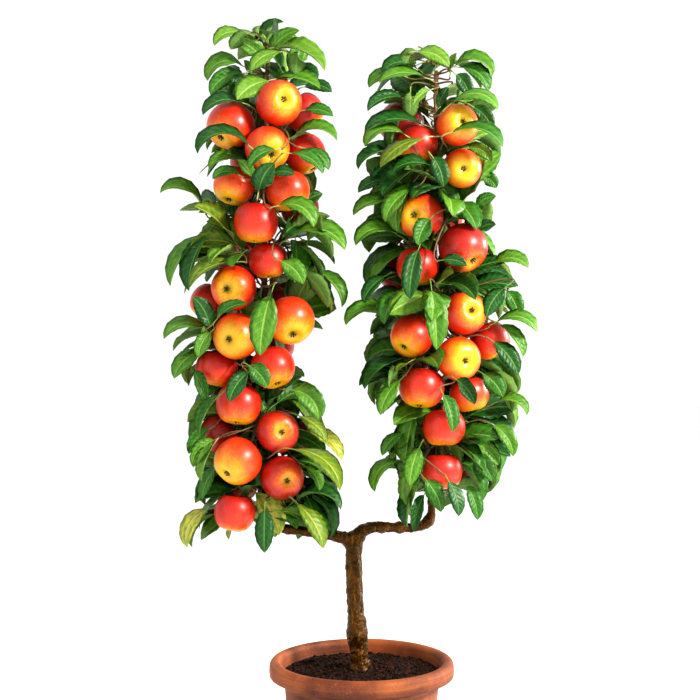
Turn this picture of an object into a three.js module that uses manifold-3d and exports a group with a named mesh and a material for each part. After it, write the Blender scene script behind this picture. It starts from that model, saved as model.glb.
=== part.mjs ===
import * as THREE from 'three';
import { mergeVertices } from 'three/addons/utils/BufferGeometryUtils.js';
import Module from 'manifold-3d';

// A dwarf apple tree trained as a two-armed fork, in a round terracotta pot.
// Sizes are in millimetres, +Z is up and the origin is the centre of the pot's flat underside.
// The arms spread along X, and the front of the tree faces -Y.

const wasm = await Module();
wasm.setup();

const gap = 0.3; // between pieces that meet
const finest = 0.05; // edges shorter than this are closed up
const beadStep = 6; // between the beads that stand for a twig when its room is tested
const massGap = 1.5; // between one mass of foliage and the next

const pot = {
  height: 262,
  lipRadius: 150,
  lipHeight: 27,
  mouthRadius: 130,
  neckRadius: 126.5,
  footRadius: 107,
  wall: 8,
  floor: 9,
  roundEdge: 3,
  sides: 26,
};
const drain = { holes: 3, radius: 9, offset: 60, sides: 8 };

const ground = 244; // height of the soil's surface, which every height below counts from
const soil = { edgeDrop: 4, flatRadius: 36 };

const trunk = {
  footX: -2,
  forkX: -13,
  sway: 3,
  forkHeight: 221,
  footRadius: 13.5,
  flare: 4.5,
  flareHeight: 14,
  rootLobes: 5,
  rootLobeDepth: 0.12,
  graftHeight: 61,
  graftBulge: 4.5,
  graftSpread: 17,
  topRadius: 13,
  sides: 10,
  rings: 14,
};

// Each limb is an arm that leaves the fork and a leader that rises from the arm's elbow.
const limbs = {
  right: {
    arm: [[-9, 0, 206], [-3, 0, 225], [12, -1, 234], [50, 1, 234.5], [92, -1, 236]],
    elbow: [109, 0, 247],
    leader: [[113, 1, 290], [115, -3, 520], [117, 3, 760]],
    tip: [118, 0, 968],
    armRadius: 8.2,
    elbowRadius: 7,
    elbowKnob: 2.6,
    leaderRadius: 6.4,
    tipRadius: 3.4,
    knots: [{ x: 32, swell: 1.6 }, { x: 61, swell: 2.2 }],
  },
  left: {
    arm: [[-17, 0, 207], [-27, 0, 217], [-48, 1, 221], [-94, -1, 229], [-139, 1, 236]],
    elbow: [-158, 0, 250],
    leader: [[-163, -1, 290], [-158, 3, 520], [-154, -3, 760]],
    tip: [-150, 0, 985],
    armRadius: 8,
    elbowRadius: 6.6,
    elbowKnob: 1.6,
    leaderRadius: 6.2,
    tipRadius: 3.4,
    knots: [{ x: -70, swell: 1.4 }, { x: -118, swell: 1.2 }],
  },
};
const knotSpread = 7;
const elbowSpread = 11;
const armSides = 8;
const armRings = 13;
const leaderSides = 7;
const leaderRings = 12;
const woodBeadCounts = { trunk: 30, limb: 260 }; // that stand for the wood when room is tested

// Spurs stand round each leader on a spiral, and each carries one mass of foliage.
const spurs = {
  count: 15,
  turn: THREE.MathUtils.degToRad(137.508),
  stemReach: 22,
  stemRise: 12,
  stemRadius: 4.6,
  stemShare: 0.8, // of the leader's own radius, at the most
  knobRadius: 7,
  knobLeaves: 6,
  siteReach: 46,
  terminalRise: 22,
  terminalLeaves: 9,
};
const shoots = {
  count: 3,
  shortest: 16,
  longest: 80,
  radius: 2.8,
  budRadius: 6.4,
  budLength: 6,
  leaves: 5,
  leastLean: THREE.MathUtils.degToRad(10), // away from the spur's own direction
  mostLean: THREE.MathUtils.degToRad(80),
  leafRoom: 80, // kept free between a shoot's end and the outline
  tries: 80,
};
const leafShape = {
  shortest: 58,
  longest: 106,
  width: 0.46,
  widestAt: 0.6,
  thickness: 2.4,
  sunk: 2.8,
  spacing: 22,
  fan: THREE.MathUtils.degToRad(34),
  leastDrop: THREE.MathUtils.degToRad(20),
  mostDrop: THREE.MathUtils.degToRad(62),
  alongTwig: 0.5, // weights of the twig's own heading, a random one and the way out
  aside: 0.7,
  leastOutward: 0.2,
  mostOutward: 0.8,
  wander: 0.9, // how steeply the random heading may rise or dip
  steepest: 0.95,
  droopLow: -0.45, // pull of the leaves downward at the column's foot
  liftHigh: 0.25, // and upward at its top
  tries: 160,
  choices: 6, // of which the one that reaches furthest is kept
};
const spin = 2.2; // radians that a leaf or shoot may turn from its place on the spiral
const appleShape = {
  profile: [[0, -0.74], [0.62, -0.8], [1, 0.02], [0.68, 0.76], [0, 0.66]], // calyx to stalk
  sides: 6,
  oversize: 1.04, // of the six-sided solid, which its corners stand out of
  apart: 3,
  fromLeader: 4,
  stalkRadius: 3.2,
  sunk: 0.4,
};
const settling = 150; // rounds of pushing the fruit apart
const clearance = 3; // of leaves and shoots from fruit and limbs
const rootRoom = 17; // round a leaf's root, where it may stand close to its own twigs

// How far the leaf tips stand out from the leader: [height, to the left, to the right].
// Fruit: across from the leader, height, distance in front of it, radius,
// then where the calyx looks: across, down and forward.
const columns = {
  left: {
    limb: limbs.left,
    seed: 15,
    firstTurn: THREE.MathUtils.degToRad(210),
    lowest: 268,
    highest: 930,
    leafFloor: 194,
    leafTop: 1052,
    reach: [
      [200, 130, 128], [320, 110, 131], [390, 129, 112], [440, 112, 92], [500, 146, 72],
      [530, 162, 84], [600, 118, 127], [650, 158, 110], [700, 140, 127], [780, 168, 91],
      [822, 94, 98], [860, 112, 114], [950, 97, 103], [1010, 92, 86], [1052, 76, 52],
    ],
    fruit: [
      { across: 22, height: 908, front: 62, radius: 36, look: [0.3, -0.2, 1] },
      { across: -50, height: 877, front: 44, radius: 38, look: [-0.55, 0.7, 0.6] },
      { across: 8, height: 843, front: 66, radius: 35, look: [0.3, 0.35, 1] },
      { across: 58, height: 893, front: 4, radius: 33, look: [0.6, 0.8, 0] },
      { across: 58, height: 838, front: 20, radius: 33, look: [0.5, 0.9, 0.2] },
      { across: -45, height: 782, front: 46, radius: 33, look: [-0.3, 0.9, 0.4] },
      { across: 33, height: 786, front: 50, radius: 35, look: [0.2, 0.9, 0.3] },
      { across: -9, height: 733, front: 64, radius: 35, look: [0, 1, 0.15] },
      { across: 0, height: 668, front: 46, radius: 31, look: [0.1, 1, 0.2] },
      { across: -41, height: 627, front: 52, radius: 36, look: [-0.4, 0, 1] },
      { across: -84, height: 600, front: 8, radius: 32, look: [-0.6, 0.8, 0.1] },
      { across: 45, height: 574, front: 52, radius: 39, look: [0.15, 0.8, 0.8] },
      { across: -40, height: 548, front: 60, radius: 37, look: [-0.4, 0.1, 1] },
      { across: -70, height: 496, front: 28, radius: 34, look: [-0.2, 1, 0.1] },
      { across: 16, height: 502, front: 62, radius: 35, look: [0.3, 0.9, 0.4] },
      { across: -36, height: 444, front: 56, radius: 36, look: [-0.1, 1, 0.3] },
      { across: 29, height: 397, front: 60, radius: 34, look: [0.3, -0.1, 1] },
      { across: -65, height: 385, front: 18, radius: 32, look: [-0.6, 0.8, 0] },
      { across: -31, height: 354, front: 62, radius: 38, look: [-0.6, 0.65, 0.65] },
      { across: 32, height: 328, front: 56, radius: 35, look: [0.35, 0.05, 1] },
      { across: -39, height: 268, front: 50, radius: 33, look: [-0.1, 1, 0.1] },
    ],
    behind: { count: 9, lowest: 300, highest: 900 },
  },
  right: {
    limb: limbs.right,
    seed: 4,
    firstTurn: THREE.MathUtils.degToRad(30),
    lowest: 290,
    highest: 912,
    leafFloor: 240,
    leafTop: 1012,
    reach: [
      [240, 62, 84], [300, 101, 100], [360, 90, 137], [430, 96, 153], [480, 140, 151],
      [550, 142, 168], [630, 126, 138], [662, 104, 152], [690, 128, 92], [760, 132, 98],
      [850, 117, 109], [920, 112, 98], [960, 106, 90], [1012, 66, 70],
    ],
    fruit: [
      { across: 28, height: 879, front: 58, radius: 33, look: [0.35, -0.2, 1] },
      { across: -27, height: 853, front: 44, radius: 32, look: [-0.2, 1, 0.2] },
      { across: 39, height: 812, front: 54, radius: 31, look: [0.05, 0, 1] },
      { across: -26, height: 738, front: 60, radius: 36, look: [-0.4, -0.1, 1] },
      { across: 40, height: 688, front: 56, radius: 39, look: [0.55, 0.7, 0.6] },
      { across: -27, height: 660, front: 52, radius: 34, look: [-0.1, 1, 0.2] },
      { across: 48, height: 583, front: 52, radius: 35, look: [0.35, -0.25, 1] },
      { across: -36, height: 550, front: 54, radius: 34, look: [-0.55, 0.65, 0.65] },
      { across: 33, height: 510, front: 62, radius: 35, look: [0.4, 0.05, 1] },
      { across: 84, height: 544, front: 12, radius: 32, look: [0.5, 0.9, 0.2] },
      { across: -16, height: 471, front: 62, radius: 36, look: [-0.1, 1, 0.3] },
      { across: 55, height: 459, front: 36, radius: 32, look: [0.2, 1, 0.1] },
      { across: 13, height: 405, front: 60, radius: 34, look: [0, 1, 0.2] },
      { across: 12, height: 338, front: 60, radius: 33, look: [0, 1, 0.1] },
    ],
    behind: { count: 8, lowest: 325, highest: 885 },
  },
};
const frontSwell = 14; // added to the reach at the front and the back
// Fruit at the back hangs in a wavering row behind the leader.
const behindRow = { distance: 62, radius: 34, swing: 1.15, step: 2.4, tilt: 0.45 };

const finishes = {
  terracotta: new THREE.MeshStandardMaterial({ color: 0xb0582f, roughness: 0.8 }),
  soil: new THREE.MeshStandardMaterial({ color: 0x2a1a12, roughness: 1 }),
  bark: new THREE.MeshStandardMaterial({ color: 0x54381f, roughness: 0.65 }),
  foliage: new THREE.MeshStandardMaterial({ color: 0x3c7a28, roughness: 0.55 }),
};

// ---- small helpers ----

function seededRandom(seed) {
  let state = seed;
  return () => {
    state = (state + 0x6d2b79f5) | 0;
    let mixed = Math.imul(state ^ (state >>> 15), 1 | state);
    mixed = (mixed + Math.imul(mixed ^ (mixed >>> 7), 61 | mixed)) ^ mixed;
    return ((mixed ^ (mixed >>> 14)) >>> 0) / 4294967296;
  };
}

const aboveSoil = ([x, y, z]) => new THREE.Vector3(x, y, z + ground);
const along = (start, direction, distance) => start.clone().addScaledVector(direction, distance);
const mix = THREE.MathUtils.lerp;
const up = new THREE.Vector3(0, 0, 1);

function geometryFrom(positions, faces) {
  const geometry = new THREE.BufferGeometry();
  geometry.setAttribute('position', new THREE.Float32BufferAttribute(positions, 3));
  geometry.setIndex(faces);
  return geometry;
}

function solidFrom(geometry) {
  const bare = geometry.clone();
  bare.deleteAttribute('normal');
  bare.deleteAttribute('uv');
  const merged = mergeVertices(bare, 1e-3);
  return new wasm.Manifold(new wasm.Mesh({
    numProp: 3,
    vertProperties: new Float32Array(merged.attributes.position.array),
    triVerts: new Uint32Array(merged.index.array),
  }));
}

// The largest body of a solid, without loose scraps, sealed hollows and the shortest edges.
function wholeOf(solid) {
  const bodies = solid.simplify(finest).decompose();
  return bodies.sort((a, b) => b.volume() - a.volume())[0];
}

function geometryOf(solid) {
  const mesh = solid.getMesh();
  return geometryFrom(Array.from(mesh.vertProperties), Array.from(mesh.triVerts));
}

// A closed tube through rings: each ring has a centre, a heading and a radius for every angle.
function tubeGeometry(rings, sides) {
  const positions = [];
  const faces = [];
  const across = new THREE.Vector3();
  const lift = new THREE.Vector3();
  for (const ring of rings) {
    across.copy(ring.side).addScaledVector(ring.heading, -ring.side.dot(ring.heading)).normalize();
    lift.crossVectors(ring.heading, across);
    for (let i = 0; i < sides; i += 1) {
      const angle = (i / sides) * Math.PI * 2;
      const radius = ring.radius(angle);
      const point = along(ring.centre, across, radius * Math.cos(angle));
      point.addScaledVector(lift, radius * Math.sin(angle));
      positions.push(point.x, point.y, point.z);
    }
  }
  for (let k = 0; k + 1 < rings.length; k += 1) {
    for (let i = 0; i < sides; i += 1) {
      const a = k * sides + i;
      const b = k * sides + ((i + 1) % sides);
      faces.push(a, b, b + sides, a, b + sides, a + sides);
    }
  }
  const last = (rings.length - 1) * sides;
  for (let i = 1; i + 1 < sides; i += 1) {
    faces.push(0, i + 1, i, last, last + i, last + i + 1);
  }
  return geometryFrom(positions, faces);
}

// ---- pot and soil ----

const innerNeck = pot.neckRadius - pot.wall;
const innerFoot = pot.footRadius - pot.wall;
const lipBottom = pot.height - pot.lipHeight;
const innerStep = lipBottom - pot.wall;

function innerRadiusAt(height) {
  const throat = mix(pot.mouthRadius, innerNeck, (pot.height - height) / (pot.height - innerStep));
  const barrel = mix(innerFoot, innerNeck, (height - pot.floor) / (innerStep - pot.floor));
  return height > innerStep ? throat : barrel;
}

function potSolid() {
  const lipMiddle = (pot.lipRadius + pot.mouthRadius) / 2;
  const lipHalf = (pot.lipRadius - pot.mouthRadius) / 2;
  const profile = [
    [0, 0],
    [pot.footRadius - pot.roundEdge, 0],
    [pot.footRadius, pot.roundEdge],
    [pot.neckRadius, lipBottom - pot.roundEdge],
    [pot.lipRadius - pot.roundEdge, lipBottom],
    [pot.lipRadius, lipBottom + pot.roundEdge],
  ];
  for (let i = 0; i <= 4; i += 1) {
    const angle = (i / 4) * Math.PI;
    profile.push([
      lipMiddle + lipHalf * Math.cos(angle),
      pot.height - lipHalf * (1 - Math.sin(angle)),
    ]);
  }
  profile.push([innerNeck, innerStep], [innerFoot, pot.floor], [0, pot.floor]);
  const points = profile.map(([x, y]) => new THREE.Vector2(x, y));
  const turned = new THREE.LatheGeometry(points, pot.sides);
  turned.rotateX(Math.PI / 2);
  let solid = solidFrom(turned);
  for (let i = 0; i < drain.holes; i += 1) {
    const angle = (i / drain.holes) * Math.PI * 2;
    const hole = new THREE.CylinderGeometry(drain.radius, drain.radius, pot.floor * 3, drain.sides);
    hole.rotateX(Math.PI / 2);
    hole.translate(drain.offset * Math.cos(angle), drain.offset * Math.sin(angle), 0);
    solid = solid.subtract(solidFrom(hole));
  }
  return solid;
}

function soilSolid() {
  const bottom = pot.floor + gap;
  const edge = ground - soil.edgeDrop;
  const profile = [
    [0, bottom],
    [innerRadiusAt(bottom) - gap * 2, bottom],
    [innerRadiusAt(innerStep) - gap * 2, innerStep],
    [innerRadiusAt(edge) - gap * 2, edge],
    [soil.flatRadius, ground],
    [0, ground],
  ];
  const points = profile.map(([x, y]) => new THREE.Vector2(x, y));
  const turned = new THREE.LatheGeometry(points, pot.sides);
  turned.rotateX(Math.PI / 2);
  return solidFrom(turned);
}

// ---- trunk, arms and leaders ----

function swell(distance, spread) {
  return Math.exp(-((distance / spread) ** 2));
}

function trunkCentre(share) {
  const x = mix(trunk.footX, trunk.forkX, share) - trunk.sway * Math.sin(Math.PI * share);
  return aboveSoil([x, 0, mix(gap, trunk.forkHeight, share)]);
}

function trunkRadius(height, angle) {
  const plain = mix(trunk.footRadius, trunk.topRadius, height / trunk.forkHeight);
  const graft = trunk.graftBulge * swell(height - trunk.graftHeight, trunk.graftSpread);
  const foot = Math.exp(-height / trunk.flareHeight);
  const lobes = 1 + trunk.rootLobeDepth * foot * Math.cos(trunk.rootLobes * angle);
  return (plain + graft + trunk.flare * foot) * lobes;
}

function trunkSolid(extra) {
  const rings = [];
  for (let i = 0; i <= trunk.rings; i += 1) {
    const share = i / trunk.rings;
    const centre = trunkCentre(share);
    if (i === trunk.rings) centre.z += extra;
    rings.push({
      centre,
      heading: up,
      side: new THREE.Vector3(1, 0, 0),
      radius: (angle) => trunkRadius(centre.z - ground, angle) + extra,
    });
  }
  return solidFrom(tubeGeometry(rings, trunk.sides));
}

function limbCurve(limb) {
  const points = [...limb.arm, limb.elbow, ...limb.leader, limb.tip].map(aboveSoil);
  return new THREE.CatmullRomCurve3(points, false, 'centripetal');
}

const elbowShare = (limb) => limb.arm.length / (limb.arm.length + limb.leader.length + 1);

function armRadius(limb, share, centre) {
  const plain = mix(limb.armRadius, limb.elbowRadius, share / elbowShare(limb));
  const knob = limb.elbowKnob * swell(centre.distanceTo(aboveSoil(limb.elbow)), elbowSpread);
  const bumps = limb.knots.map((knot) => knot.swell * swell(centre.x - knot.x, knotSpread));
  return plain + knob + bumps.reduce((sum, bump) => sum + bump, 0);
}

function leaderRadius(limb, share, centre) {
  const start = elbowShare(limb);
  const plain = mix(limb.leaderRadius, limb.tipRadius, (share - start) / (1 - start));
  return plain + limb.elbowKnob * swell(centre.distanceTo(aboveSoil(limb.elbow)), elbowSpread);
}

function limbSolid(limb, radiusAt, from, to, count, sides, extra) {
  const curve = limbCurve(limb);
  const rings = [];
  for (let i = 0; i <= count; i += 1) {
    const share = mix(from, to, i / count);
    const centre = curve.getPoint(share);
    const radius = radiusAt(limb, share, centre) + extra;
    rings.push({
      centre,
      heading: curve.getTangent(share),
      side: new THREE.Vector3(0, 1, 0),
      radius: () => radius,
    });
  }
  return solidFrom(tubeGeometry(rings, sides));
}

function armSolid(limb) {
  const whole = limbSolid(limb, armRadius, 0, elbowShare(limb), armRings, armSides, 0);
  return whole.subtract(trunkSolid(gap));
}

function leaderSolid(limb, extra) {
  const curve = limbCurve(limb);
  const elbow = elbowShare(limb);
  const step = 1e-3;
  const speed = curve.getPoint(elbow + step).distanceTo(curve.getPoint(elbow)) / step;
  return limbSolid(limb, leaderRadius, elbow + gap / speed, 1, leaderRings, leaderSides, extra);
}

// The leader's axis at a height above the soil.
function leaderAt(limb, height) {
  const curve = limbCurve(limb);
  let low = elbowShare(limb);
  let high = 1;
  while (high - low > 1e-7) {
    const middle = (low + high) / 2;
    if (curve.getPoint(middle).z - ground < height) low = middle;
    else high = middle;
  }
  const centre = curve.getPoint(low);
  return { centre, radius: leaderRadius(limb, low, centre) };
}

// ---- fruit ----

// Pushes fruit apart until none touches another or the leader.
function settleFruit(column, fruit) {
  for (let pass = 0; pass < settling; pass += 1) {
    for (let i = 0; i < fruit.length; i += 1) {
      for (let j = i + 1; j < fruit.length; j += 1) {
        const apart = fruit[j].centre.clone().sub(fruit[i].centre);
        const overlap = fruit[i].radius + fruit[j].radius + appleShape.apart - apart.length();
        if (overlap > 0) {
          apart.setLength(overlap / 2);
          fruit[j].centre.add(apart);
          fruit[i].centre.sub(apart);
        }
      }
      const leader = leaderAt(column.limb, fruit[i].centre.z - ground);
      const away = fruit[i].centre.clone().sub(leader.centre).setZ(0);
      const short = fruit[i].radius + leader.radius + appleShape.fromLeader - away.length();
      if (short > 0) fruit[i].centre.add(away.setLength(short));
    }
  }
}

function fruitOf(column) {
  const fruit = column.fruit.map((one) => {
    const leader = leaderAt(column.limb, one.height).centre;
    return {
      centre: leader.clone().add(new THREE.Vector3(one.across, -one.front, 0)),
      radius: one.radius,
      look: new THREE.Vector3(one.look[0], -one.look[2], -one.look[1]).normalize(),
    };
  });
  const { count, lowest, highest } = column.behind;
  for (let k = 0; k < count; k += 1) {
    const height = mix(lowest, highest, k / (count - 1));
    const wave = Math.sin(k * behindRow.step + column.seed);
    const angle = Math.PI / 2 + behindRow.swing * wave;
    const outward = new THREE.Vector3(Math.cos(angle), Math.sin(angle), 0);
    fruit.push({
      centre: along(leaderAt(column.limb, height).centre, outward, behindRow.distance),
      radius: behindRow.radius + 3 * wave,
      look: outward.clone().multiplyScalar((k % 3) * behindRow.tilt).addScaledVector(up, -1).normalize(),
    });
  }
  settleFruit(column, fruit);
  return fruit;
}

function appleSolid(apple) {
  const r = apple.radius * appleShape.oversize;
  const points = appleShape.profile.map(([x, y]) => new THREE.Vector2(x * r, y * r));
  const turned = new THREE.LatheGeometry(points, appleShape.sides);
  const upright = new THREE.Quaternion();
  upright.setFromUnitVectors(new THREE.Vector3(0, -1, 0), apple.look);
  turned.applyQuaternion(upright);
  turned.translate(apple.centre.x, apple.centre.y, apple.centre.z);
  return solidFrom(turned);
}

// ---- masses of foliage ----

// A three-sided twig through two or more points.
function twigSolid(points, radii) {
  const rings = points.map((centre, i) => {
    const before = points[Math.max(i - 1, 0)];
    const after = points[Math.min(i + 1, points.length - 1)];
    const heading = after.clone().sub(before).normalize();
    const side = Math.abs(heading.z) > 0.9 ? new THREE.Vector3(1, 0, 0) : up;
    return { centre, heading, side, radius: () => radii[i] };
  });
  return solidFrom(tubeGeometry(rings, 3));
}

// The swollen knob of wood that twigs and leaf stalks grow from.
function knobSolid(centre, radius) {
  const knob = new THREE.OctahedronGeometry(radius);
  knob.translate(centre.x, centre.y, centre.z);
  return solidFrom(knob);
}

function beads(from, to, radius) {
  const length = to.distanceTo(from);
  const count = Math.max(1, Math.ceil(length / beadStep));
  const row = [];
  for (let i = 0; i <= count; i += 1) {
    row.push({ centre: from.clone().lerp(to, i / count), radius });
  }
  return row;
}

// Five corners: the root, both edges, the keel under the midrib, and the tip.
function leafCorners(root, heading, drop, length) {
  const side = new THREE.Vector3().crossVectors(heading, up).normalize();
  const normal = new THREE.Vector3().crossVectors(side, heading).normalize();
  const half = (length * leafShape.width) / 2;
  const middle = along(root, heading, length * leafShape.widestAt);
  const bent = heading.clone().multiplyScalar(Math.cos(drop)).addScaledVector(normal, -Math.sin(drop));
  const tip = along(middle, bent, length * (1 - leafShape.widestAt));
  const keel = along(middle, normal, -leafShape.thickness);
  return [root, along(middle, side, half), along(middle, side, -half), keel, tip];
}

function leafSolid(corners) {
  const faces = [0, 1, 2, 1, 4, 2, 0, 3, 1, 0, 2, 3, 3, 4, 1, 3, 2, 4];
  return solidFrom(geometryFrom(corners.flatMap((corner) => corner.toArray()), faces));
}

function leafSamples([root, right, left, keel, tip]) {
  const between = (a, b, share) => a.clone().lerp(b, share);
  const points = [between(root, keel, 0.35), between(root, keel, 0.7), keel, between(keel, tip, 0.5), tip];
  for (const edge of [right, left]) {
    points.push(edge, between(root, edge, 0.5), between(root, edge, 0.8));
    points.push(between(edge, tip, 0.5), between(edge, keel, 0.5));
  }
  return points;
}

// How far foliage may stand out from the leader at a height, in a direction round it.
function reachAt(column, height, outward) {
  const rows = column.reach;
  let k = 0;
  while (k + 2 < rows.length && rows[k + 1][0] < height) k += 1;
  const share = THREE.MathUtils.clamp((height - rows[k][0]) / (rows[k + 1][0] - rows[k][0]), 0, 1);
  const toLeft = mix(rows[k][1], rows[k + 1][1], share);
  const toRight = mix(rows[k][2], rows[k + 1][2], share);
  return (toLeft + toRight) / 2 + ((toRight - toLeft) / 2) * outward.x + frontSwell * outward.y ** 2;
}

function withinOutline(column, point) {
  const height = point.z - ground;
  if (height < column.leafFloor || height > column.leafTop) return false;
  const away = point.clone().sub(leaderAt(column.limb, height).centre).setZ(0);
  return away.length() <= reachAt(column, height, away.clone().normalize());
}

function spurSites(column) {
  const sites = [];
  for (let k = 0; k < spurs.count; k += 1) {
    const height = mix(column.lowest, column.highest, k / (spurs.count - 1));
    const angle = column.firstTurn + k * spurs.turn;
    const outward = new THREE.Vector3(Math.cos(angle), Math.sin(angle), 0);
    const foot = leaderAt(column.limb, height - spurs.stemRise);
    const head = leaderAt(column.limb, height);
    sites.push({
      outward,
      pull: 1,
      leaves: spurs.knobLeaves,
      foot: foot.centre,
      head: along(head.centre, outward, spurs.stemReach),
      site: along(head.centre, outward, spurs.siteReach),
      radius: Math.min(spurs.stemRadius, foot.radius * spurs.stemShare),
    });
  }
  const tip = aboveSoil(column.limb.tip);
  sites.push({
    outward: up,
    pull: 0.5,
    leaves: spurs.terminalLeaves,
    foot: along(tip, up, gap),
    head: along(tip, up, spurs.terminalRise / 2),
    site: along(tip, up, spurs.terminalRise),
    radius: column.limb.tipRadius,
  });
  return sites;
}

function inOwnSpace(sites, own, point) {
  const near = point.distanceTo(sites[own].site) + massGap;
  return sites.every((other, i) => i === own || point.distanceTo(other.site) > near);
}

function clearOf(obstacles, point, room) {
  return obstacles.every((one) => point.distanceTo(one.centre) > one.radius + room);
}

function beadsOfWood() {
  const row = [];
  for (let i = 0; i <= woodBeadCounts.trunk; i += 1) {
    const centre = trunkCentre(i / woodBeadCounts.trunk);
    row.push({ centre, radius: trunkRadius(centre.z - ground, 0) });
  }
  for (const limb of Object.values(limbs)) {
    const curve = limbCurve(limb);
    for (let i = 0; i <= woodBeadCounts.limb; i += 1) {
      const share = i / woodBeadCounts.limb;
      const centre = curve.getPoint(share);
      const radiusAt = share < elbowShare(limb) ? armRadius : leaderRadius;
      row.push({ centre, radius: radiusAt(limb, share, centre) });
    }
  }
  return row;
}

// How near a point comes to the outline, as a share of the reach there.
function shareOfReach(column, point) {
  const away = point.clone().sub(leaderAt(column.limb, point.z - ground).centre).setZ(0);
  return away.length() / reachAt(column, point.z - ground, away.clone().normalize());
}

function leafHeading(space, root, axis, turn) {
  const { column, own, sites, random } = space;
  const share = (root.z - ground - column.lowest) / (column.highest - column.lowest);
  const angle = turn + random() * spin;
  const rise = mix(-leafShape.wander, leafShape.wander, random());
  const wander = new THREE.Vector3(Math.cos(angle), Math.sin(angle), rise);
  const heading = axis.clone().multiplyScalar(leafShape.alongTwig);
  heading.addScaledVector(wander, leafShape.aside);
  const outward = mix(leafShape.leastOutward, leafShape.mostOutward, random());
  heading.addScaledVector(sites[own].outward, sites[own].pull * outward);
  heading.addScaledVector(up, mix(leafShape.droopLow, leafShape.liftHigh, share));
  return heading.normalize();
}

// Tries headings for one leaf from a knob, and keeps the clear one that reaches furthest.
function growLeaf(space, root, axis, turn, taken) {
  const { column, own, sites, obstacles, nearby, random, leafCentres } = space;
  let best = null;
  let found = 0;
  for (let attempt = 0; attempt < leafShape.tries && found < leafShape.choices; attempt += 1) {
    const heading = leafHeading(space, root, axis, turn);
    const drop = mix(leafShape.leastDrop, leafShape.mostDrop, random());
    const length = mix(leafShape.longest, leafShape.shortest, random() * (attempt / leafShape.tries));
    if (Math.abs(heading.z) > leafShape.steepest) continue;
    if (taken.some((other) => other.angleTo(heading) < leafShape.fan)) continue;
    const corners = leafCorners(along(root, heading, -leafShape.sunk), heading, drop, length);
    const outer = corners.slice(1);
    const middle = corners[3];
    if (leafCentres.some((centre) => centre.distanceTo(middle) < leafShape.spacing)) continue;
    if (!outer.every((point) => inOwnSpace(sites, own, point))) continue;
    if (!outer.every((point) => withinOutline(column, point))) continue;
    const samples = leafSamples(corners);
    if (!samples.every((point) => clearOf(obstacles, point, clearance))) continue;
    const free = samples.filter((point) => point.distanceTo(root) > rootRoom);
    if (!free.every((point) => clearOf(nearby, point, clearance))) continue;
    found += 1;
    const reached = shareOfReach(column, corners[4]);
    if (!best || reached > best.reached) best = { corners, heading, middle, free, reached };
  }
  if (!best) return null;
  leafCentres.push(best.middle);
  taken.push(best.heading);
  nearby.push(...best.free.map((centre) => ({ centre, radius: clearance })));
  return leafSolid(best.corners);
}

function growLeaves(space, root, axis, count) {
  const leaves = [];
  const taken = [];
  for (let k = 0; k < count; k += 1) {
    const leaf = growLeaf(space, root, axis, k * spurs.turn, taken);
    if (leaf) leaves.push(leaf);
  }
  return leaves;
}

// Tries headings for one shoot from a spur until one is clear, or gives none.
function growShoot(space, turn) {
  const { column, own, sites, obstacles, nearby, random } = space;
  const { outward, head } = sites[own];
  const sideways = new THREE.Vector3().crossVectors(up, outward);
  if (sideways.length() < 0.1) sideways.set(1, 0, 0);
  sideways.normalize();
  const lift = new THREE.Vector3().crossVectors(outward, sideways);
  for (let attempt = 0; attempt < shoots.tries; attempt += 1) {
    const angle = turn + random() * spin;
    const lean = mix(shoots.leastLean, shoots.mostLean, random());
    const heading = outward.clone().multiplyScalar(Math.cos(lean));
    heading.addScaledVector(sideways, Math.sin(lean) * Math.cos(angle));
    heading.addScaledVector(lift, Math.sin(lean) * Math.sin(angle)).normalize();
    const spare = reachAt(column, head.z - ground, heading) - shoots.leafRoom;
    const longest = THREE.MathUtils.clamp(spare, shoots.shortest, shoots.longest);
    const length = mix(shoots.shortest, longest, (1 + random()) / 2);
    const end = along(head, heading, length);
    const path = beads(head, end, shoots.radius).slice(2);
    const room = path.slice(2);
    const free = path.every(({ centre }) => (
      inOwnSpace(sites, own, centre) && clearOf(obstacles, centre, shoots.budRadius + 0.5)
    )) && room.every(({ centre }) => clearOf(nearby, centre, shoots.budRadius));
    if (free) return { heading, end, bud: along(head, heading, length - shoots.budLength), path };
  }
  return null;
}

// The nearest spur from which a straight stalk reaches an apple past all the others.
function spurFor(apple, end, sites, masses, fruit) {
  const others = fruit.filter((one) => one !== apple);
  const order = sites.map((site, i) => i);
  order.sort((i, j) => sites[i].head.distanceTo(end) - sites[j].head.distanceTo(end));
  const free = order.find((i) => {
    const blocks = masses.flatMap((mass, k) => (k === i ? [] : mass.blocks));
    const row = beads(sites[i].head, end, appleShape.stalkRadius);
    return row.every(({ centre, radius }) => clearOf([...others, ...blocks], centre, radius + 1));
  });
  return free ?? order[0];
}

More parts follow.
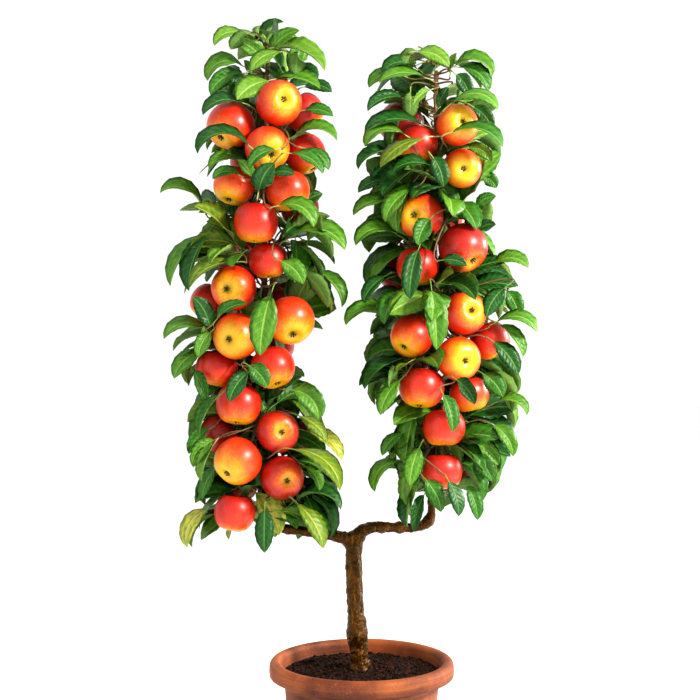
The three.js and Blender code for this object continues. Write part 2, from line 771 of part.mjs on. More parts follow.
function growColumn(column, woodBeads) {
  const random = seededRandom(column.seed);
  const sites = spurSites(column);
  const fruit = fruitOf(column);
  const masses = sites.map(({ foot, head, radius }) => ({
    pieces: [
      twigSolid([foot, head], [radius, shoots.radius]),
      knobSolid(head, spurs.knobRadius),
    ],
    blocks: beads(foot, head, shoots.radius),
    leaves: 0,
  }));

  for (const apple of fruit) {
    const buried = along(apple.centre, apple.look, -apple.radius * appleShape.sunk);
    const owner = spurFor(apple, buried, sites, masses, fruit);
    const { head } = sites[owner];
    const { stalkRadius } = appleShape;
    masses[owner].pieces.push(
      appleSolid(apple),
      twigSolid([head, buried], [stalkRadius, stalkRadius]),
    );
    masses[owner].blocks.push(...beads(head, buried, stalkRadius));
  }

  const fruitBalls = fruit.map(({ centre, radius }) => ({ centre, radius: radius * appleShape.oversize }));
  const leafCentres = [];
  masses.forEach((mass, own) => {
    const others = masses.flatMap(({ blocks }, i) => (i === own ? [] : blocks));
    const obstacles = [...fruitBalls, ...woodBeads, ...others];
    const nearby = [...mass.blocks];
    const space = { column, own, sites, obstacles, nearby, random, leafCentres };
    for (let k = 0; k < shoots.count; k += 1) {
      const shoot = growShoot(space, k * spurs.turn);
      if (!shoot) continue;
      nearby.push(...shoot.path);
      const leaves = growLeaves(space, shoot.bud, shoot.heading, shoots.leaves);
      if (leaves.length === 0) continue;
      mass.pieces.push(
        twigSolid([sites[own].head, shoot.end], [shoots.radius, shoots.budRadius]),
        ...leaves,
      );
      mass.blocks.push(...shoot.path);
      mass.leaves += leaves.length;
    }
    const close = growLeaves(space, sites[own].head, sites[own].outward, sites[own].leaves);
    mass.pieces.push(...close);
    mass.leaves += close.length;
  });
  return masses;
}

// ---- assembly ----

const tree = new THREE.Group();

function addNode(name, solid, material) {
  const mesh = new THREE.Mesh(geometryOf(solid), material);
  mesh.name = name;
  tree.add(mesh);
}

addNode('pot', potSolid(), finishes.terracotta);
addNode('soil', soilSolid(), finishes.soil);
addNode('trunk', trunkSolid(0), finishes.bark);

const woodBeads = beadsOfWood();
for (const [name, column] of Object.entries(columns)) {
  addNode(`arm_${name}`, armSolid(column.limb), finishes.bark);
  addNode(`leader_${name}`, leaderSolid(column.limb, 0), finishes.bark);
  const leaderSpace = leaderSolid(column.limb, gap);
  growColumn(column, woodBeads).forEach((mass, i) => {
    const whole = wholeOf(wasm.Manifold.union(mass.pieces).subtract(leaderSpace));
    const number = String(i + 1).padStart(2, '0');
    addNode(`foliage_${name}_${number}`, whole, finishes.foliage);
  });
}

export default tree;
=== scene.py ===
import math
import random

import bpy
import numpy as np
from mathutils import Matrix, Vector, noise


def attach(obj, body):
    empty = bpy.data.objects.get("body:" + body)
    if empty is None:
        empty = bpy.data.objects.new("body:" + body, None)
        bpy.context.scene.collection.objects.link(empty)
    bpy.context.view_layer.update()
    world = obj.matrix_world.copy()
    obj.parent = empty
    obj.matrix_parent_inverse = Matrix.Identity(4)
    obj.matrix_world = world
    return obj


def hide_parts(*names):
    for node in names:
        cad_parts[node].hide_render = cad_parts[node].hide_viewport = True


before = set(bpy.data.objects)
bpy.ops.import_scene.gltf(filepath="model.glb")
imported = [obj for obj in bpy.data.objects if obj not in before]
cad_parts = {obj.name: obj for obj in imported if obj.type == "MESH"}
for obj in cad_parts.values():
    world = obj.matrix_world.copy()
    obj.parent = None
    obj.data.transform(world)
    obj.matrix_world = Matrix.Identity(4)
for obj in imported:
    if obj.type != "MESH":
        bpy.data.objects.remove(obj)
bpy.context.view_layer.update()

# A dwarf apple tree trained as a two-armed fork, in a round terracotta pot.
# The growth is worked out in millimetres, and the meshes are made in metres.

mm = 0.001
up = np.array([0.0, 0.0, 1.0])


def addObject(name, data):
    made = bpy.data.objects.new(name, data)
    bpy.context.collection.objects.link(made)
    return made


print("camera, lights and floor")
cameraView = {"x": -0.019, "distance": 3.0, "height": 1.02, "aimHeight": 0.767, "lens": 96.4, "sensor": 36}


def makeCamera():
    data = bpy.data.cameras.new("camera")
    data.lens = cameraView["lens"]
    data.sensor_width = cameraView["sensor"]
    camera = addObject("camera", data)
    camera.location = (cameraView["x"], -cameraView["distance"], cameraView["height"])
    drop = math.atan2(cameraView["height"] - cameraView["aimHeight"], cameraView["distance"])
    camera.rotation_euler = (math.pi / 2 - drop, 0, 0)
    bpy.context.scene.camera = camera


makeCamera()
bpy.context.scene.view_settings.view_transform = "Standard"
bpy.context.scene.view_settings.look = "Medium High Contrast"

# Each light: place, how high on the tree it aims, width and watts.
lights = {
    "key": {"place": (2.3, -1.6, 2.35), "aim": 0.8, "width": 0.5, "power": 148, "colour": (1.0, 0.965, 0.9)},
    "fill": {"place": (-2.2, -2.2, 1.3), "aim": 0.7, "width": 2.2, "power": 8, "colour": (0.93, 0.97, 1.0)},
    "rim": {"place": (2.0, 0.9, 1.2), "aim": 0.5, "width": 0.7, "power": 42, "colour": (1.0, 0.98, 0.95)},
}
surround = {"Color": (1.0, 1.0, 1.0, 1), "Strength": 0.88}
floorShape = {"width": 12.0, "below": 0.0005, "colour": (0.9, 0.9, 0.9, 1), "roughness": 0.9}


def makeLight(name, light):
    data = bpy.data.lights.new(name, "AREA")
    data.size, data.energy, data.color = light["width"], light["power"], light["colour"]
    lamp = addObject(name, data)
    lamp.location = light["place"]
    towards = Vector((0, 0, light["aim"])) - Vector(light["place"])
    lamp.rotation_euler = towards.to_track_quat("-Z", "Y").to_euler()


def makeSurround():
    world = bpy.data.worlds.new("surround")
    bpy.context.scene.world = world
    world.use_nodes = True
    for socket, value in surround.items():
        world.node_tree.nodes["Background"].inputs[socket].default_value = value


for name, light in lights.items():
    makeLight(name, light)
makeSurround()


# Helpers for materials. A wire is a value on its way through the nodes, and a sum of
# wires adds a math node.
class Wire:
    def __init__(self, socket):
        self.socket = socket

    def into(self, kind, values, output=0, **settings):
        return addNode(self.socket.id_data, kind, values, output, **settings)

    def math(self, operation, other=0.0):
        return self.into("Math", {0: self, 1: other}, operation=operation)

    def __add__(self, other):
        return self.math("ADD", other)

    def __sub__(self, other):
        return self.math("SUBTRACT", other)

    def __mul__(self, other):
        return self.math("MULTIPLY", other)

    def __truediv__(self, other):
        return self.math("DIVIDE", other)

    def part(self, index):
        return self.into("SeparateXYZ", {0: self}, index)

    def step(self, low, high, bottom=0.0, top=1.0):
        values = {0: self, 1: low, 2: high, 3: bottom, 4: top}
        return self.into("MapRange", values, interpolation_type="SMOOTHSTEP")

    def stretched(self, *scale):
        return self.into("Mapping", {"Vector": self, "Scale": scale})

    def grain(self, scale, detail=3.0, roughness=0.55):
        values = {"Vector": self, "Scale": scale, "Detail": detail, "Roughness": roughness}
        return self.into("TexNoise", values, "Fac")

    def dots(self, scale):
        return self.into("TexVoronoi", {"Vector": self, "Scale": scale}, "Distance")


def addNode(tree, kind, values, output=0, **settings):
    made = tree.nodes.new(f"ShaderNode{kind}")
    for key, value in settings.items():
        setattr(made, key, value)
    for key, value in values.items():
        if isinstance(value, Wire):
            tree.links.new(value.socket, made.inputs[key])
        else:
            made.inputs[key].default_value = value
    return Wire(made.outputs[output])


# A screen colour of 0 to 255 as the shader's straight light.
def paint(*colour):
    shares = [value / 255 for value in colour]
    return *(value / 12.92 if value <= 0.04045 else ((value + 0.055) / 1.055) ** 2.4 for value in shares), 1.0


# Colours laid over one another: each layer says where it shows, and in what colour.
def layered(colour, *layers):
    for share, over in layers:
        first, second = (one if isinstance(one, Wire) else paint(*one) for one in (colour, over))
        colour = share.into("Mix", {0: share, 6: first, 7: second}, 2, data_type="RGBA")
    return colour


def startMaterial(name, **values):
    material = bpy.data.materials.new(name)
    material.use_nodes = True
    for socket, value in values.items():
        material.node_tree.nodes["Principled BSDF"].inputs[socket.replace("_", " ")].default_value = value
    return material


def finished(material, colour, relief, strength, distance, roughness=None):
    tree = material.node_tree
    bump = addNode(tree, "Bump", {"Height": relief, "Strength": strength, "Distance": distance})
    for socket, wire in (("Base Color", colour), ("Roughness", roughness), ("Normal", bump)):
        if wire is not None:
            tree.links.new(wire.socket, tree.nodes["Principled BSDF"].inputs[socket])
    return material


def placeOn(material):
    return addNode(material.node_tree, "TexCoord", {}, "Object")


def uvOf(material):
    uv = addNode(material.node_tree, "UVMap", {}, uv_map="OFBake")
    return uv, uv.part(0), uv.part(1)


def makeFloor():
    half = floorShape["width"] / 2
    mesh = bpy.data.meshes.new("floor")
    mesh.from_pydata([(-half, -half, 0), (half, -half, 0), (half, half, 0), (-half, half, 0)], [], [(0, 1, 2, 3)])
    floor = addObject("floor", mesh)
    floor.location.z = -floorShape["below"]
    pale = startMaterial("paleFloor", Base_Color=floorShape["colour"], Roughness=floorShape["roughness"])
    mesh.materials.append(pale)


makeFloor()


def unit(vector):
    return vector / max(np.linalg.norm(vector), 1e-9)


def mix(first, second, share):
    return first + (second - first) * share


def between(chance, low, high):
    return mix(low, high, chance.random())


def swell(distance, spread):
    return math.exp(-((distance / spread) ** 2))


def outwards(angle):
    return np.array([math.cos(angle), math.sin(angle), 0])


def around(sides):
    return np.arange(sides) / sides * 2 * math.pi


def stepLengths(points):
    return np.linalg.norm(np.diff(points, axis=0), axis=1)


def walkAlong(points):
    return np.concatenate([[0], np.cumsum(stepLengths(points))])


def bezier(first, second, third, last, count):
    t = np.linspace(0, 1, count)[:, None]
    return (first * (1 - t) ** 3 + 3 * second * t * (1 - t) ** 2
            + 3 * third * t ** 2 * (1 - t) + last * t ** 3)


# Heaps gather many small meshes, which become one piece.
def newHeap():
    return {"points": [], "quads": [], "tris": [], "quadUvs": [], "triUvs": [], "count": 0}


def pile(heap, points, quads, quadUvs, tris=None, triUvs=None):
    start = heap["count"]
    heap["points"].append(points)
    heap["quads"].append(quads + start)
    heap["quadUvs"].append(quadUvs)
    if tris is not None:
        heap["tris"].append(tris + start)
        heap["triUvs"].append(triUvs)
    heap["count"] = start + len(points)


def makePiece(name, heap, material, nodes, withUvs=True):
    points = np.concatenate(heap["points"]) * mm
    quads = np.concatenate(heap["quads"])
    tris = np.concatenate(heap["tris"]) if heap["tris"] else np.zeros((0, 3), int)
    mesh = bpy.data.meshes.new(name)
    mesh.vertices.add(len(points))
    mesh.vertices.foreach_set("co", points.ravel())
    mesh.loops.add(quads.size + tris.size)
    mesh.loops.foreach_set("vertex_index", np.concatenate([quads.ravel(), tris.ravel()]).astype(np.int32))
    starts = np.concatenate([np.arange(len(quads)) * 4, quads.size + np.arange(len(tris)) * 3])
    mesh.polygons.add(len(starts))
    mesh.polygons.foreach_set("loop_start", starts.astype(np.int32))
    mesh.polygons.foreach_set("use_smooth", np.ones(len(starts), bool))
    if withUvs:
        uvs = [part.reshape(-1, 2) for part in heap["quadUvs"] + heap["triUvs"]]
        mesh.uv_layers.new(name="OFBake").uv.foreach_set("vector", np.concatenate(uvs).ravel())
    mesh.update(calc_edges=True)
    mesh.validate()
    mesh.materials.append(material)
    piece = addObject(name, mesh)
    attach(piece, "root")
    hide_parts(*nodes)
    print("  ", name, len(quads) * 2 + len(tris), "triangles")
    return piece


# Rings of points closed by a fan at each end. The texture runs once round and up by the
# rings' heights on it, with a margin of its own for each fan.
def skin(heap, rings, ends, heights, margin):
    count, sides = rings.shape[:2]
    rows, columns = (part.ravel() for part in np.meshgrid(np.arange(count - 1), np.arange(sides), indexing="ij"))
    here, beside = rows * sides + columns, rows * sides + (columns + 1) % sides
    low, high, left, right = heights[rows], heights[rows + 1], columns / sides, (columns + 1) / sides
    i = np.arange(sides)
    j = (i + 1) % sides
    first, last = count * sides, (count - 1) * sides
    spread = np.stack([i + 0.5, i, i + 1], 1) / sides
    pile(
        heap, np.vstack([rings.reshape(-1, 3), ends]),
        np.stack([here, beside, beside + sides, here + sides], 1),
        np.stack([left, low, right, low, right, high, left, high], 1).reshape(-1, 4, 2),
        np.concatenate([
            np.stack([np.full(sides, first), j, i], 1),
            np.stack([np.full(sides, first + 1), last + i, last + j], 1),
        ]),
        np.concatenate([
            np.stack([spread[:, [0, 2, 1]], np.tile([0.0, margin, margin], (sides, 1))], -1),
            np.stack([spread, np.tile([1.0, 1 - margin, 1 - margin], (sides, 1))], -1),
        ]),
    )


# A closed tube: radii has one number, or one for every side, at each point of the path.
def tube(heap, path, radii, sides, hint=None):
    path = np.asarray(path, float)
    headings = np.gradient(path, axis=0)
    headings /= np.linalg.norm(headings, axis=1)[:, None]
    if hint is None:
        hint = np.eye(3)[np.argmin(np.abs(path[-1] - path[0]))]
    across = hint - headings * (headings @ hint)[:, None]
    across /= np.linalg.norm(across, axis=1)[:, None]
    lift = np.cross(headings, across)
    angles = around(sides)
    radii = np.asarray(radii, float)
    if radii.ndim == 1:
        radii = np.repeat(radii[:, None], sides, axis=1)
    ring = np.cos(angles)[None, :, None] * across[:, None] + np.sin(angles)[None, :, None] * lift[:, None]
    heights = np.arange(len(path)) / (len(path) - 1)
    skin(heap, path[:, None] + ring * radii[..., None], [path[0], path[-1]], heights, 0.01)


# A turned shape from a profile of (radius, height). Placed bends it and sets it down.
def turned(heap, profile, sides, placed):
    profile = np.asarray(profile, float)
    radius, height = profile[:, 0, None], profile[:, 1, None]
    angles = around(sides)
    rings = np.stack([radius * np.cos(angles), radius * np.sin(angles), np.repeat(height, sides, axis=1)], -1)
    ends = np.array([[[0, 0, profile[0, 1]]], [[0, 0, profile[-1, 1]]]])
    margin = 1 / (len(profile) + 1)
    heights = (np.arange(len(profile)) + 1) / (len(profile) + 1)
    skin(heap, placed(rings, angles), placed(ends, np.zeros(1)).reshape(-1, 3), heights, margin)


print("pot")
potShape = {
    "height": 262, "lipRadius": 150, "lipHeight": 27, "mouthRadius": 130, "neckRadius": 126.5,
    "footRadius": 107, "wall": 8, "floor": 9, "roundEdge": 3, "neckFillet": 3.4, "lipSwell": 0.5,
    "innerRound": 6, "axisGap": 0.5, "flatTo": (40, 90), "sides": 160,
}
drainHoles = {"count": 3, "radius": 9, "offset": 60, "from": -8, "to": 20, "sides": 24}
terracotta = {"clay": (155, 77, 25), "pale": (206, 131, 54), "deep": (78, 29, 12), "bloom": (206, 146, 94)}


def terracottaMaterial():
    material = startMaterial("terracottaClay")
    place = placeOn(material)
    height = place.part(2)
    cloud = place.grain(9, 5)
    turning = place.stretched(6, 6, 160).grain(1.0, 4)  # faint rings from the wheel
    speck, grit = place.grain(420, 2, 0.7), place.grain(260, 2, 0.7)
    salts = place.grain(26, 5).step(0.52, 0.72) * height.step(0.02, 0.16, 0.4, 0.05)
    # darker below the lip, inside and out, in cloudy patches
    darkBelowLip = height.step(0.236, 0.252, 0.45, 0.0) * cloud.step(0.2, 0.6)
    colour = layered(
        terracotta["clay"], (cloud.step(0.35, 0.68), terracotta["deep"]),
        (turning.step(0.5, 0.75, 0, 0.3), terracotta["pale"]), (speck.step(0.62, 0.72, 0, 0.55), terracotta["pale"]),
        (grit.step(0.64, 0.72, 0, 0.6), terracotta["deep"]), (salts, terracotta["bloom"]), (darkBelowLip, terracotta["deep"]),
    )
    return finished(material, colour, speck * 0.5 + turning, 0.35, 0.0008, cloud.step(0.3, 0.7, 0.58, 0.8))


# From the middle of the underside out, up the outside, over the lip and down the inside.
def potProfile():
    foot, neck, lip, mouth = (potShape[f"{part}Radius"] for part in ("foot", "neck", "lip", "mouth"))
    height, wall, floor, edge = (potShape[part] for part in ("height", "wall", "floor", "roundEdge"))
    fillet, inside, axis = potShape["neckFillet"], potShape["innerRound"], potShape["axisGap"]
    lipBottom = height - potShape["lipHeight"]
    lipHalf = (lip - mouth) / 2
    flatTo = potShape["flatTo"]
    profile = [(axis, 0), *((radius, 0) for radius in flatTo)]

    def arc(x, z, radius, start, end, count):
        for k in range(count + 1):
            angle = math.radians(mix(start, end, k / count))
            profile.append((x + radius * math.cos(angle), z + radius * math.sin(angle)))

    def line(start, end, shares):
        profile.extend((mix(start[0], end[0], share), mix(start[1], end[1], share)) for share in shares)

    arc(foot - edge, edge, edge, -90, -6, 5)
    line((foot, edge), (neck, lipBottom - 4), [k / 13 for k in range(1, 13)])
    arc(neck + fillet + 0.2, lipBottom - fillet, fillet, 180, 95, 4)
    arc(lip - edge, lipBottom + edge, edge, -90, -4, 4)
    profile.append((lip + potShape["lipSwell"], lipBottom + 9))
    arc((lip + mouth) / 2, height - lipHalf, lipHalf, 4, 176, 14)
    profile.extend([(mouth - 0.6, lipBottom + 8), (mouth - 1.6, lipBottom)])
    line((neck - wall, lipBottom - wall), (foot - wall + 4, floor + 5), [k / 8 for k in range(9)])
    arc(foot - wall - 2, floor + inside, inside, 0, -90, 4)
    profile.extend([(flatTo[0], floor), (axis, floor)])
    return profile


def drill(pot, angle):
    heap = newHeap()
    centre = outwards(angle) * drainHoles["offset"]
    path = [centre + up * drainHoles["from"], centre + up * drainHoles["to"]]
    tube(heap, path, [drainHoles["radius"]] * 2, drainHoles["sides"], np.array([1.0, 0, 0]))
    mesh = bpy.data.meshes.new("drainHole")
    faces = [face for part in ("quads", "tris") for face in np.concatenate(heap[part]).tolist()]
    mesh.from_pydata((np.concatenate(heap["points"]) * mm).tolist(), [], faces)
    cutter = addObject("drainHole", mesh)
    cut = pot.modifiers.new("drainHole", "BOOLEAN")
    cut.operation, cut.object = "DIFFERENCE", cutter
    bpy.context.view_layer.objects.active = pot
    bpy.ops.object.modifier_apply(modifier=cut.name)
    bpy.data.objects.remove(cutter)


def makePot():
    def thrown(points, angles):  # a hand-finished pot is never quite round
        wobble = 1 + 0.0022 * np.sin(2 * angles + 0.7) + 0.0012 * np.sin(5 * angles)
        return points * np.stack([wobble, wobble, np.ones(len(angles))], -1)

    heap = newHeap()
    turned(heap, potProfile(), potShape["sides"], thrown)
    pot = makePiece("terracottaPot", heap, terracottaMaterial(), ["pot"], withUvs=False)
    for angle in around(drainHoles["count"]):
        drill(pot, angle)


makePot()

print("compost")
ground = 244
compost = {
    "reach": potShape["mouthRadius"] - 2, "rings": 60, "spokes": 150, "edgeDrop": 4, "levelTo": 36, "fall": 92,
    "rough": 2.6, "roughScale": 0.045, "mound": 5, "moundSpread": 26, "bottomGap": 0.5, "footGap": 9.2,
    "neckGap": 9, "sideHeight": 226, "edgeGap": 0.6, "edgeHeight": 236, "level": 240,
}
crumbs = {
    "count": 1900, "smallest": 1.0, "largest": 3.4, "rarity": 2.4, "sides": 5, "sunk": 0.35, "seed": 5,
    "within": 0.985, "atEdge": 0.6, "thinnest": 0.7, "thickest": 1.25, "skew": 6, "warp": 0.25,
    "outline": [(0.25, -0.8), (0.95, -0.25), (0.85, 0.45), (0.2, 0.85)],
}
compostColours = {"dark": (21, 9, 4), "brown": (80, 42, 19), "fleck": (128, 85, 50)}


def compostMaterial(name, lift):
    material = startMaterial(name, Roughness=0.95, Specular_IOR_Level=0.2)
    place = placeOn(material)
    lumps, flecks = place.grain(130, 5, 0.65), place.grain(700, 2, 0.6)
    colour = layered(
        compostColours["dark"], (lumps.step(0.42, 0.72, 0, lift), compostColours["brown"]),
        (flecks.step(0.68, 0.74, 0, 0.7), compostColours["fleck"]),
    )
    return finished(material, colour, lumps + flecks * 0.4, 0.8, 0.003)


def compostHeight(x, y):
    away = math.hypot(x, y)
    slope = ground - compost["edgeDrop"] * max(0.0, (away - compost["levelTo"]) / compost["fall"])
    rough = noise.fractal(Vector((x, y, 3)) * compost["roughScale"], 0.7, 2.2, 5) * compost["rough"]
    return slope + rough + compost["mound"] * swell(away, compost["moundSpread"])


def makeCompost():
    reach, level, axis = compost["reach"], compost["level"], potShape["axisGap"]
    bottom = potShape["floor"] + compost["bottomGap"]
    profile = [
        (axis, bottom), (potShape["footRadius"] - compost["footGap"], bottom),
        (potShape["neckRadius"] - compost["neckGap"], compost["sideHeight"]),
        (reach - compost["edgeGap"], compost["edgeHeight"]),
    ]
    profile.extend((max(reach * (1 - k / compost["rings"]), axis), level) for k in range(compost["rings"]))

    def rough(points, angles):
        made = points.reshape(-1, 3).copy()
        for point in made:
            if point[2] == level:
                point[2] = compostHeight(point[0], point[1])
        return made.reshape(points.shape)

    heap = newHeap()
    turned(heap, profile, compost["spokes"], rough)
    makePiece("compostBed", heap, compostMaterial("compostBed", 0.7), ["soil"], withUvs=False)


def makeCrumbs():
    chance = random.Random(crumbs["seed"])
    heap = newHeap()
    for _ in range(crumbs["count"]):
        away = compost["reach"] * math.sqrt(chance.random()) * crumbs["within"]
        angle = chance.random() * 2 * math.pi
        size = mix(crumbs["smallest"], crumbs["largest"], chance.random() ** crumbs["rarity"])
        x, y = away * math.cos(angle), away * math.sin(angle)
        size = min(size, compost["reach"] - away + crumbs["atEdge"])
        centre = np.array([x, y, compostHeight(x, y) + size * crumbs["sunk"]])
        squash = np.array([between(chance, crumbs["thinnest"], crumbs["thickest"]) for _ in range(3)])
        skew = chance.random() * crumbs["skew"]

        def crumb(points, angles):
            made = points * size * squash
            made[..., 2] += crumbs["warp"] * size * np.sin(skew + points[..., 0] * 2)
            return made + centre

        turned(heap, crumbs["outline"], crumbs["sides"], crumb)
    makePiece("compostCrumbs", heap, compostMaterial("compostCrumbs", 1.0), ["soil"], withUvs=False)


makeCompost()
makeCrumbs()

print("trunk, arms and leaders")
trunk = {
    "footX": -2, "forkX": -13, "sway": 3, "forkHeight": 221, "footRadius": 13.5, "flare": 4.5,
    "flareHeight": 14, "rootLobes": 5, "rootLobeDepth": 0.12, "graftHeight": 61, "graftBulge": 4.5,
    "graftSpread": 17, "topRadius": 13, "gap": 0.3, "sunk": 7, "rings": 190, "sides": 64, "dome": 9,
    "shoulder": 5, "domeSpan": 14.3,
}
limbs = {
    "right": {
        "arm": [(-9, 0, 206), (-3, 0, 225), (12, -1, 234), (50, 1, 234.5), (92, -1, 236)],
        "elbow": (109, 0, 247), "leader": [(113, 1, 290), (115, -3, 520), (117, 3, 760)], "tip": (118, 0, 968),
        "armRadius": 8.2, "elbowRadius": 7, "elbowKnob": 2.6, "leaderRadius": 6.4, "tipRadius": 3.4,
        "knots": [(32, 1.6), (61, 2.2)],
    },
    "left": {
        "arm": [(-17, 0, 207), (-27, 0, 217), (-48, 1, 221), (-94, -1, 229), (-139, 1, 236)],
        "elbow": (-158, 0, 250), "leader": [(-163, -1, 290), (-158, 3, 520), (-154, -3, 760)], "tip": (-150, 0, 985),
        "armRadius": 8, "elbowRadius": 6.6, "elbowKnob": 1.6, "leaderRadius": 6.2, "tipRadius": 3.4,
        "knots": [(-70, 1.4), (-118, 1.2)],
    },
}
knotSpread = 7
elbowSpread = 11
# Warts and ridges on the trunk: height, angle in degrees, rise, spread up and spread round.
trunkLumps = [
    (176, -70, 2.6, 6, 9), (168, 200, 2.2, 5, 8), (158, -30, 1.8, 5, 7), (146, -100, 1.5, 6, 8), (190, -140, 2.0, 6, 8),
    (120, -50, 1.6, 7, 8), (98, -150, 1.4, 6, 7), (82, -20, 1.8, 7, 9), (60, -80, 1.6, 9, 10), (46, -160, 1.5, 8, 9),
    (132, 60, 1.8, 7, 9), (86, 110, 1.6, 6, 8), (200, 20, 1.8, 5, 8), (206, -95, 1.6, 4, 7), (30, -40, 1.2, 6, 8),
]
trunkGroove = {
    "angle": -38, "wander": 9, "depth": 1.7, "width": 15, "from": 70, "to": 216, "fadeIn": 25, "fadeOut": 20,
    "ridge": 1.1, "ridgeTurn": 26,
}
barkShape = {
    "girth": 13, "coarse": 1.5, "coarseScale": 0.11, "fine": 0.6, "fineScale": 0.5,
    "rings": 0.5, "ringStep": 5.5, "ringWander": 0.8, "wanderScale": 0.08, "patchScale": 0.06,
}
# The gold is bark tone and partly a painted golden highlight.
barkColours = {
    "deep": (6, 3, 1), "brown": (22, 10, 3), "tan": (70, 38, 10), "gold": (186, 136, 40), "moss": (52, 42, 12),
    "wart": (128, 92, 46), "young": (166, 136, 96), "sheen": (255, 196, 116),
}
barkPaling = {"from": 0.85, "to": 1.15}  # metres up


def barkMaterial(name, light):
    material = startMaterial(name, Specular_IOR_Level=0.55, Specular_Tint=paint(*barkColours["sheen"]))
    place = placeOn(material)
    cloud = place.stretched(1, 1, 0.45).grain(46, 5, 0.6)
    dark = place.stretched(1, 1, 0.6).grain(95, 5, 0.62)
    streak = place.stretched(1, 1, 0.12).grain(260, 3, 0.6)
    lenticels = place.stretched(1, 1, 2.6).dots(150.0).step(0.1, 0.22, 1.0, 0.0)
    paling = place.part(2).step(barkPaling["from"], barkPaling["to"], 0, light * 0.9)
    shows = {
        "tan": cloud.step(0.36, 0.62), "deep": dark.step(0.5, 0.68, 0, 0.92 - light * 0.4),
        # gold on the raised streaks: bark tone and partly a painted golden highlight
        "moss": place.grain(30, 3).step(0.56, 0.7, 0, 0.5), "gold": streak.step(0.56, 0.74, 0, 0.3 + light * 0.4),
        "wart": lenticels * 0.55, "young": paling,
    }
    colour = layered(barkColours["brown"], *((share, barkColours[coat]) for coat, share in shows.items()))
    relief = streak * 0.5 + (dark + lenticels * 0.6)
    return finished(material, colour, relief, 1.0, 0.003, dark.step(0.35, 0.65, 0.18, 0.42))


def trunkCentre(share):
    x = mix(trunk["footX"], trunk["forkX"], share) - trunk["sway"] * math.sin(math.pi * min(share, 1))
    return np.array([x, 0, ground + trunk["gap"] + (trunk["forkHeight"] - trunk["gap"]) * share])


def trunkRadius(height, angle):
    plain = mix(trunk["footRadius"], trunk["topRadius"], height / trunk["forkHeight"])
    graft = trunk["graftBulge"] * swell(height - trunk["graftHeight"], trunk["graftSpread"])
    foot = math.exp(-max(height, 0) / trunk["flareHeight"])
    lobes = 1 + trunk["rootLobeDepth"] * foot * math.cos(trunk["rootLobes"] * angle)
    return (plain + graft + trunk["flare"] * foot) * lobes


def roughBark(angle, girth, along):
    spot = Vector((math.cos(angle), math.sin(angle), 0)) * girth + Vector((0, 0, along))
    coarse = noise.fractal(spot * barkShape["coarseScale"], 0.8, 2.1, 4) * barkShape["coarse"]
    fine = noise.fractal(spot * barkShape["fineScale"], 0.8, 2.1, 3) * barkShape["fine"]
    wave = along / barkShape["ringStep"] + barkShape["ringWander"] * noise.noise(spot * barkShape["wanderScale"])
    patches = 0.5 + noise.noise(spot * barkShape["patchScale"])
    return coarse + fine + barkShape["rings"] * max(0.0, math.sin(2 * math.pi * wave)) ** 4 * patches


def turnFrom(angle, degrees):
    return math.remainder(angle - math.radians(degrees), 2 * math.pi)


def trunkRelief(height, angle):
    relief = roughBark(angle, barkShape["girth"], height)
    for lumpHeight, degrees, rise, spreadUp, spreadRound in trunkLumps:
        turn = turnFrom(angle, degrees) * (barkShape["girth"] + 1)
        relief += rise * math.exp(-((height - lumpHeight) / spreadUp) ** 2 - (turn / spreadRound) ** 2)
    fadeIn = (height - trunkGroove["from"]) / trunkGroove["fadeIn"]
    fadeOut = (trunkGroove["to"] - height) / trunkGroove["fadeOut"]
    inside = min(1, max(0, fadeIn)) * min(1, max(0, fadeOut))
    turn = math.degrees(turnFrom(angle, trunkGroove["angle"] + trunkGroove["wander"] * math.sin(height * 0.05)))
    relief -= inside * trunkGroove["depth"] * swell(turn, trunkGroove["width"])
    return relief + inside * trunkGroove["ridge"] * swell(turn + trunkGroove["ridgeTurn"], trunkGroove["width"])


def makeTrunk():
    heap = newHeap()
    angles = around(trunk["sides"]).tolist()
    path, radii = [], []
    top = trunk["forkHeight"]
    for k in range(trunk["rings"] + 1):
        height = mix(-trunk["sunk"], top + trunk["dome"], k / trunk["rings"])
        path.append(trunkCentre(height / top))
        dome = math.sqrt(max(0.02, 1 - max(0, (height - top + trunk["shoulder"]) / trunk["domeSpan"]) ** 2))
        radii.append([(trunkRadius(height, angle) + trunkRelief(height, angle)) * dome for angle in angles])
    tube(heap, path, radii, trunk["sides"], np.array([1.0, 0, 0]))
    makePiece("barkTrunk", heap, barkMaterial("oldBark", 0.25), ["trunk"], withUvs=False)


makeTrunk()


# A smooth curve through the points, the same as the limbs of the frame have.
def curvePoint(points, share):
    last = len(points) - 1
    place = min(max(share, 0.0), 1.0) * last
    index = min(int(place), last - 1)
    weight = place - index
    p1, p2 = points[index], points[index + 1]
    p0 = points[index - 1] if index > 0 else p1 * 2 - p2
    p3 = points[index + 2] if index + 2 <= last else p2 * 2 - p1
    d0, d1, d2 = (np.sum((b - a) ** 2) ** 0.25 for a, b in ((p0, p1), (p1, p2), (p2, p3)))
    t1 = ((p1 - p0) / d0 - (p2 - p0) / (d0 + d1) + (p2 - p1) / d1) * d1
    t2 = ((p2 - p1) / d1 - (p3 - p1) / (d1 + d2) + (p3 - p2) / d2) * d1
    c2 = -3 * p1 + 3 * p2 - 2 * t1 - t2
    c3 = 2 * p1 - 2 * p2 + t1 + t2
    return p1 + t1 * weight + c2 * weight ** 2 + c3 * weight ** 3


def limbPoints(limb):
    rows = [*limb["arm"], limb["elbow"], *limb["leader"], limb["tip"]]
    return [np.array([x, y, z + ground], float) for x, y, z in rows]


def elbowShare(limb):
    return len(limb["arm"]) / (len(limb["arm"]) + len(limb["leader"]) + 1)


def elbowKnob(limb, centre):
    elbow = np.array(limb["elbow"], float) + (0, 0, ground)
    return limb["elbowKnob"] * swell(np.linalg.norm(centre - elbow), elbowSpread)


